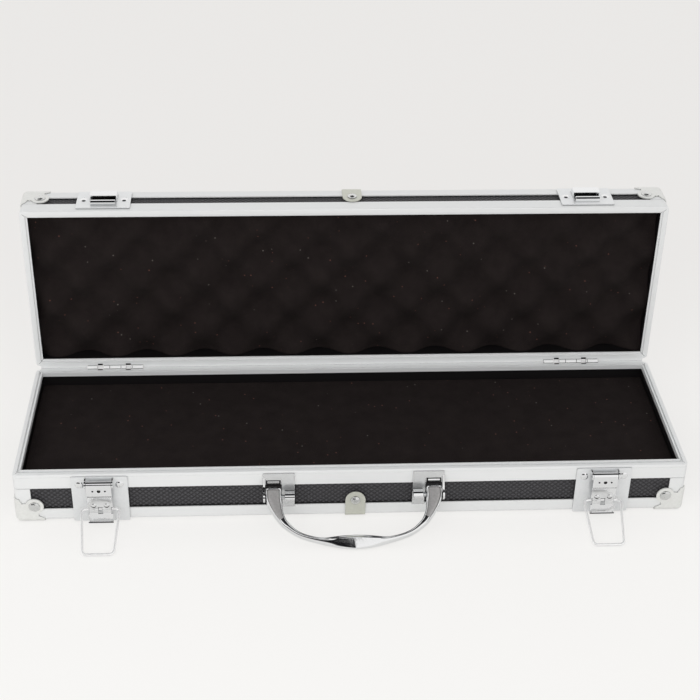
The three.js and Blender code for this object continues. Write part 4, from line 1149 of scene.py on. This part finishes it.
# %% Sections of the bow
def spline(rows, t):
    """A point on the smooth curve through rows of numbers, from 0 to 1."""
    place = min(max(t, 0.0), 1.0) * (len(rows) - 1)
    i = min(int(place), len(rows) - 2)
    w = place - i
    a, b, c, d = (rows[min(max(k, 0), len(rows) - 1)] for k in (i - 1, i, i + 1, i + 2))
    return [q + 0.5 * w * (r - p + w * (2 * p - 5 * q + 4 * r - n + w * (3 * (q - r) + n - p)))
            for p, q, r, n in zip(a, b, c, d)]


def bow_outline(width, thickness, power, inset, depth, lowest):
    """Points (aside, up) round the bar; the pocket's floor is lower by depth."""
    half, tall = width / 2 - inset, thickness / 2 - inset
    room = max(width / 2 - POCKET_RIM, 0.25)
    lean = min(max(2.5 * (power - 0.85), 0), 1)
    ridge = -RIDGE_LEAN * half * lean

    def crown(aside):
        reach = half - ridge if aside > ridge else half + ridge
        share = abs(aside - ridge) / reach
        round_top = max(1 - min(share, 1) ** (2 / power), 0) ** (power / 2)
        return tall * (round_top + FACET_FLAT * lean * (1 - min(share, 1) - round_top))

    under = [2 * math.pi * (0.5 + 0.5 * k / UNDER) for k in range(UNDER + 1)]
    outline = [(half * math.copysign(abs(math.cos(a)) ** power, math.cos(a)),
                max(-tall * abs(math.sin(a)) ** power, lowest)) for a in under]
    rim = [half + (room - half) * k / (RIM + 1) for k in range(1, RIM + 1)]
    outline += [(a, crown(a)) for a in rim] + [(room, crown(room))]
    floor = [(room - 0.18) * (1 - 2 * k / FLOOR) for k in range(FLOOR + 1)]
    outline += [(a, crown(a) - depth) for a in floor]
    return outline + [(-room, crown(room))] + [(-a, crown(a)) for a in reversed(rim)]


def bow_section(t, side, behind=0.0, inset=0.0, depth=0.0):
    """The outline at t along half the bow, or behind the pivot by so many mm."""
    width, thickness, power = spline([row[2:] for row in STATIONS], t)
    path = [(x * SPAN, s * REACH) for x, s, *_ in STATIONS]
    here = Vector(spline(path, t))
    along = (Vector(spline(path, t + 0.01)) - Vector(spline(path, t - 0.01))).normalized()
    if t == 0:
        along = Vector((0, 1))
    lowest = -math.sqrt(max(HEEL_UNDER ** 2 - behind ** 2, 0)) if behind else -thickness
    return [(side * (here.x + along.y * aside), behind - here.y + along.x * aside, up)
            for aside, up in bow_outline(width, thickness, power, inset, depth, lowest)]


# %% Loft the handle
BOW_STEPS = 44
heel_steps = [(HEEL, HEEL_ROUND, 0), (HEEL - 0.1, 0.45, 0), (HEEL - 0.35, 0.15, 0),
              (HEEL - HEEL_ROUND, 0, 0), (3.95, 0, 0), (3.75, 0, POCKET_DEPTH)]
heel_steps += [(behind, 0, POCKET_DEPTH) for behind in (3.2, 2.5, 1.8, 1.2, 0.6)]
half_bow = [(0.0, *heel) for heel in heel_steps]
for i in range(BOW_STEPS + 1):
    t = i / BOW_STEPS
    half_bow.append((t, 0.0, 0.0, POCKET_DEPTH * max(1 - (t / POCKET_END) ** 3, 0)))
sections = [bow_section(t, -1, *rest) for t, *rest in half_bow]
sections += [bow_section(t, 1, *rest) for t, *rest in reversed(half_bow[:-1])]
count = len(sections[0])
points = [point for section in sections for point in section]
walls = skin(len(sections), count)
ends = [tuple(reversed(range(count))), tuple(range(len(points) - count, len(points)))]
print("the handle has", len(sections), "sections of", count, "points")

# %% Hang the handle
droop = 0.5
power = 2 / (2 - GRIP_POWER)
for _ in range(30):             # lets the grip down until it lies on the table
    wide, thick = GRIP_WIDTH / 2 * math.sin(droop), GRIP_THICKNESS / 2 * math.cos(droop)
    below = (wide ** power + thick ** power) ** (1 / power)
    droop = math.asin((PIVOT_HEIGHT + LIFT - FIT - below) / REACH)
hung = (BASE_PLACE @ Matrix.Translation((0, FRONT - PIVOT_OUT, PIVOT_HEIGHT))
        @ Matrix.Rotation(droop, 4, "X"))
bow = turn_outward(make_object("handle_bow", points, walls + ends, hung))
print("the handle hangs", round(math.degrees(droop), 1), "degrees below level")

# %% Finish the pockets and bore the heels
FLOOR_START = UNDER + RIM + 2   # the outline's first point on the pocket's floor
PIN_BORE, LEAST_DEPTH = 1.9, 0.6
bow.data.materials.append(CHROME)
bow.data.materials.append(CAST_POCKET)
for i, face in enumerate(bow.data.polygons[:len(walls)]):
    row, column = divmod(i, count)
    depth = half_bow[min(row, len(sections) - 2 - row)][3]
    if depth > LEAST_DEPTH and FLOOR_START <= column < FLOOR_START + FLOOR:
        face.material_index = 1
boolean(bow, bar("pin bore", PIN_BORE, 2 * SPAN, (0, FRONT - PIVOT_OUT, PIVOT_HEIGHT + LIFT)))
finish_piece(smooth(bow, 32), None, "handle", "plated_steel", "handle")

# %% [markdown]
# ## Camera
#
# The photograph was taken a little above the case and slightly to its left. The lens, place
# and angles below come from fitting a pinhole camera to the case's edges.

# %% Camera
camera_data = bpy.data.cameras.new("camera")
camera_data.sensor_width = 36.0
camera_data.lens = 75.42
camera = link("camera", camera_data)
yaw, pitch, roll = (math.radians(a) for a in (-3.531, 57.316, 1.183))
aim = Matrix.Rotation(yaw, 4, "Z") @ Matrix.Rotation(pitch, 4, "X") @ Matrix.Rotation(roll, 4, "Z")
camera.matrix_world = Matrix.Translation(Vector((-53.28, -856.05, 645.58)) * MM) @ aim
bpy.context.scene.camera = camera

# %% [markdown]
# ## The table
#
# The case stands on matt white paper in a studio with light from all sides, which leaves the
# paper almost even. So two thirds of what the camera sees of it is a plain glow, and the rest
# is shaded and carries the case's soft shadows. Mirrors see a little of the glow too. Toward
# the back the glow is painted slightly darker: painted shade, as the light falls off there.

# %% Floor
TABLE = 6.0                     # half the table's side in metres
SEEN_GLOW, MIRRORED_GLOW = 0.68, 0.12
floor_mesh = bpy.data.meshes.new("table_top")
floor_mesh.from_pydata([(-TABLE, -TABLE, 0), (TABLE, -TABLE, 0), (TABLE, TABLE, 0),
                        (-TABLE, TABLE, 0)], [], [(0, 1, 2, 3)])
floor = link("table_top", floor_mesh)
# uncoated paper: no reflection, only shadows
floor_material, tree, shader = new_material("matt white paper", "#F5F4F2", 0.0, 0.9)
ray = add(tree, "ShaderNodeLightPath").outputs
seen = calc(tree, "MULTIPLY", ray["Is Camera Ray"], SEEN_GLOW)
share = calc(tree, "MULTIPLY_ADD", ray["Is Glossy Ray"], MIRRORED_GLOW, seen)
depth = split(tree, add(tree, "ShaderNodeTexCoord").outputs["Object"])[1]
# painted shade: the glow darkens toward the back
away = ramp(tree, depth, -0.15, 0.35, interpolation_type="SMOOTHSTEP")
paper = add(tree, "ShaderNodeEmission", {0: blend(tree, away, "#FFFEFC", "#F3F1EF"), 1: 1.0})
even = add(tree, "ShaderNodeMixShader", {0: share, 1: shader.outputs[0], 2: paper.outputs[0]})
tree.links.new(even.outputs[0], tree.nodes["Material Output"].inputs["Surface"])
floor_mesh.materials.append(floor_material)

# %% [markdown]
# ## Lamp and studio
#
# One soft lamp stands in front, low and close, so that the base is a little brighter than the
# lid behind it, and a wide even sky does the rest. Polished metal is only as good as what it
# mirrors, so glossy rays meet a studio of their own: pale all round, with an unlit ceiling
# overhead and a dim room from behind the camera to its left. Camera rays see a plain pale
# backdrop. Mirrors don't see the lamp.

# %% Lamp
light = bpy.data.lights.new("front softbox", "AREA")
light.shape = "RECTANGLE"
light.size, light.size_y = 1.2, 0.7
light.energy = 4.2
lamp = link("front softbox", light)
lamp.location = (-0.3, -1.0, 0.55)
lamp.rotation_euler = (Vector((0, 0, 0.05)) - lamp.location).to_track_quat("-Z", "Y").to_euler()
lamp.visible_glossy = False

# %% World
world = bpy.data.worlds.new("studio")
bpy.context.scene.world = world
world.use_nodes = True
tree = world.node_tree
tree.nodes.clear()
right, deep, up = split(tree, add(tree, "ShaderNodeTexCoord").outputs["Generated"])


def between(value, low, high, soft):
    """1 where value lies between low and high, with edges that fade over soft."""
    return calc(tree, "MULTIPLY", ramp(tree, value, low - soft, low + soft),
                ramp(tree, value, high - soft, high + soft, 1.0, 0.0))


ceiling = between(up, 0.86, 2.0, 0.03)
in_front = calc(tree, "MULTIPLY", between(deep, -2.0, -0.1, 0.1), between(up, -0.03, 0.5, 0.02))
dim_room = calc(tree, "MULTIPLY", in_front, between(right, -0.75, 0.052, 0.003))
studio = blend(tree, dim_room, blend(tree, ceiling, "#FAF9F8", "#28282A"), "#18181A")
mirrored = add(tree, "ShaderNodeBackground", {0: studio, 1: 1.0})
sky = add(tree, "ShaderNodeBackground", {0: linear("#F5F5F5"), 1: 0.78})
backdrop = add(tree, "ShaderNodeBackground", {0: linear("#F0EEED"), 1: 1.0})
ray = add(tree, "ShaderNodeLightPath").outputs
gloss = add(tree, "ShaderNodeMixShader", {0: ray["Is Glossy Ray"], 1: sky.outputs[0],
                                          2: mirrored.outputs[0]})
both = add(tree, "ShaderNodeMixShader", {0: ray["Is Camera Ray"], 1: gloss.outputs[0],
                                         2: backdrop.outputs[0]})
add(tree, "ShaderNodeOutputWorld", {0: both.outputs[0]})
bpy.context.scene.view_settings.view_transform = "Standard"

# %% Update the scene
bpy.context.view_layer.update()
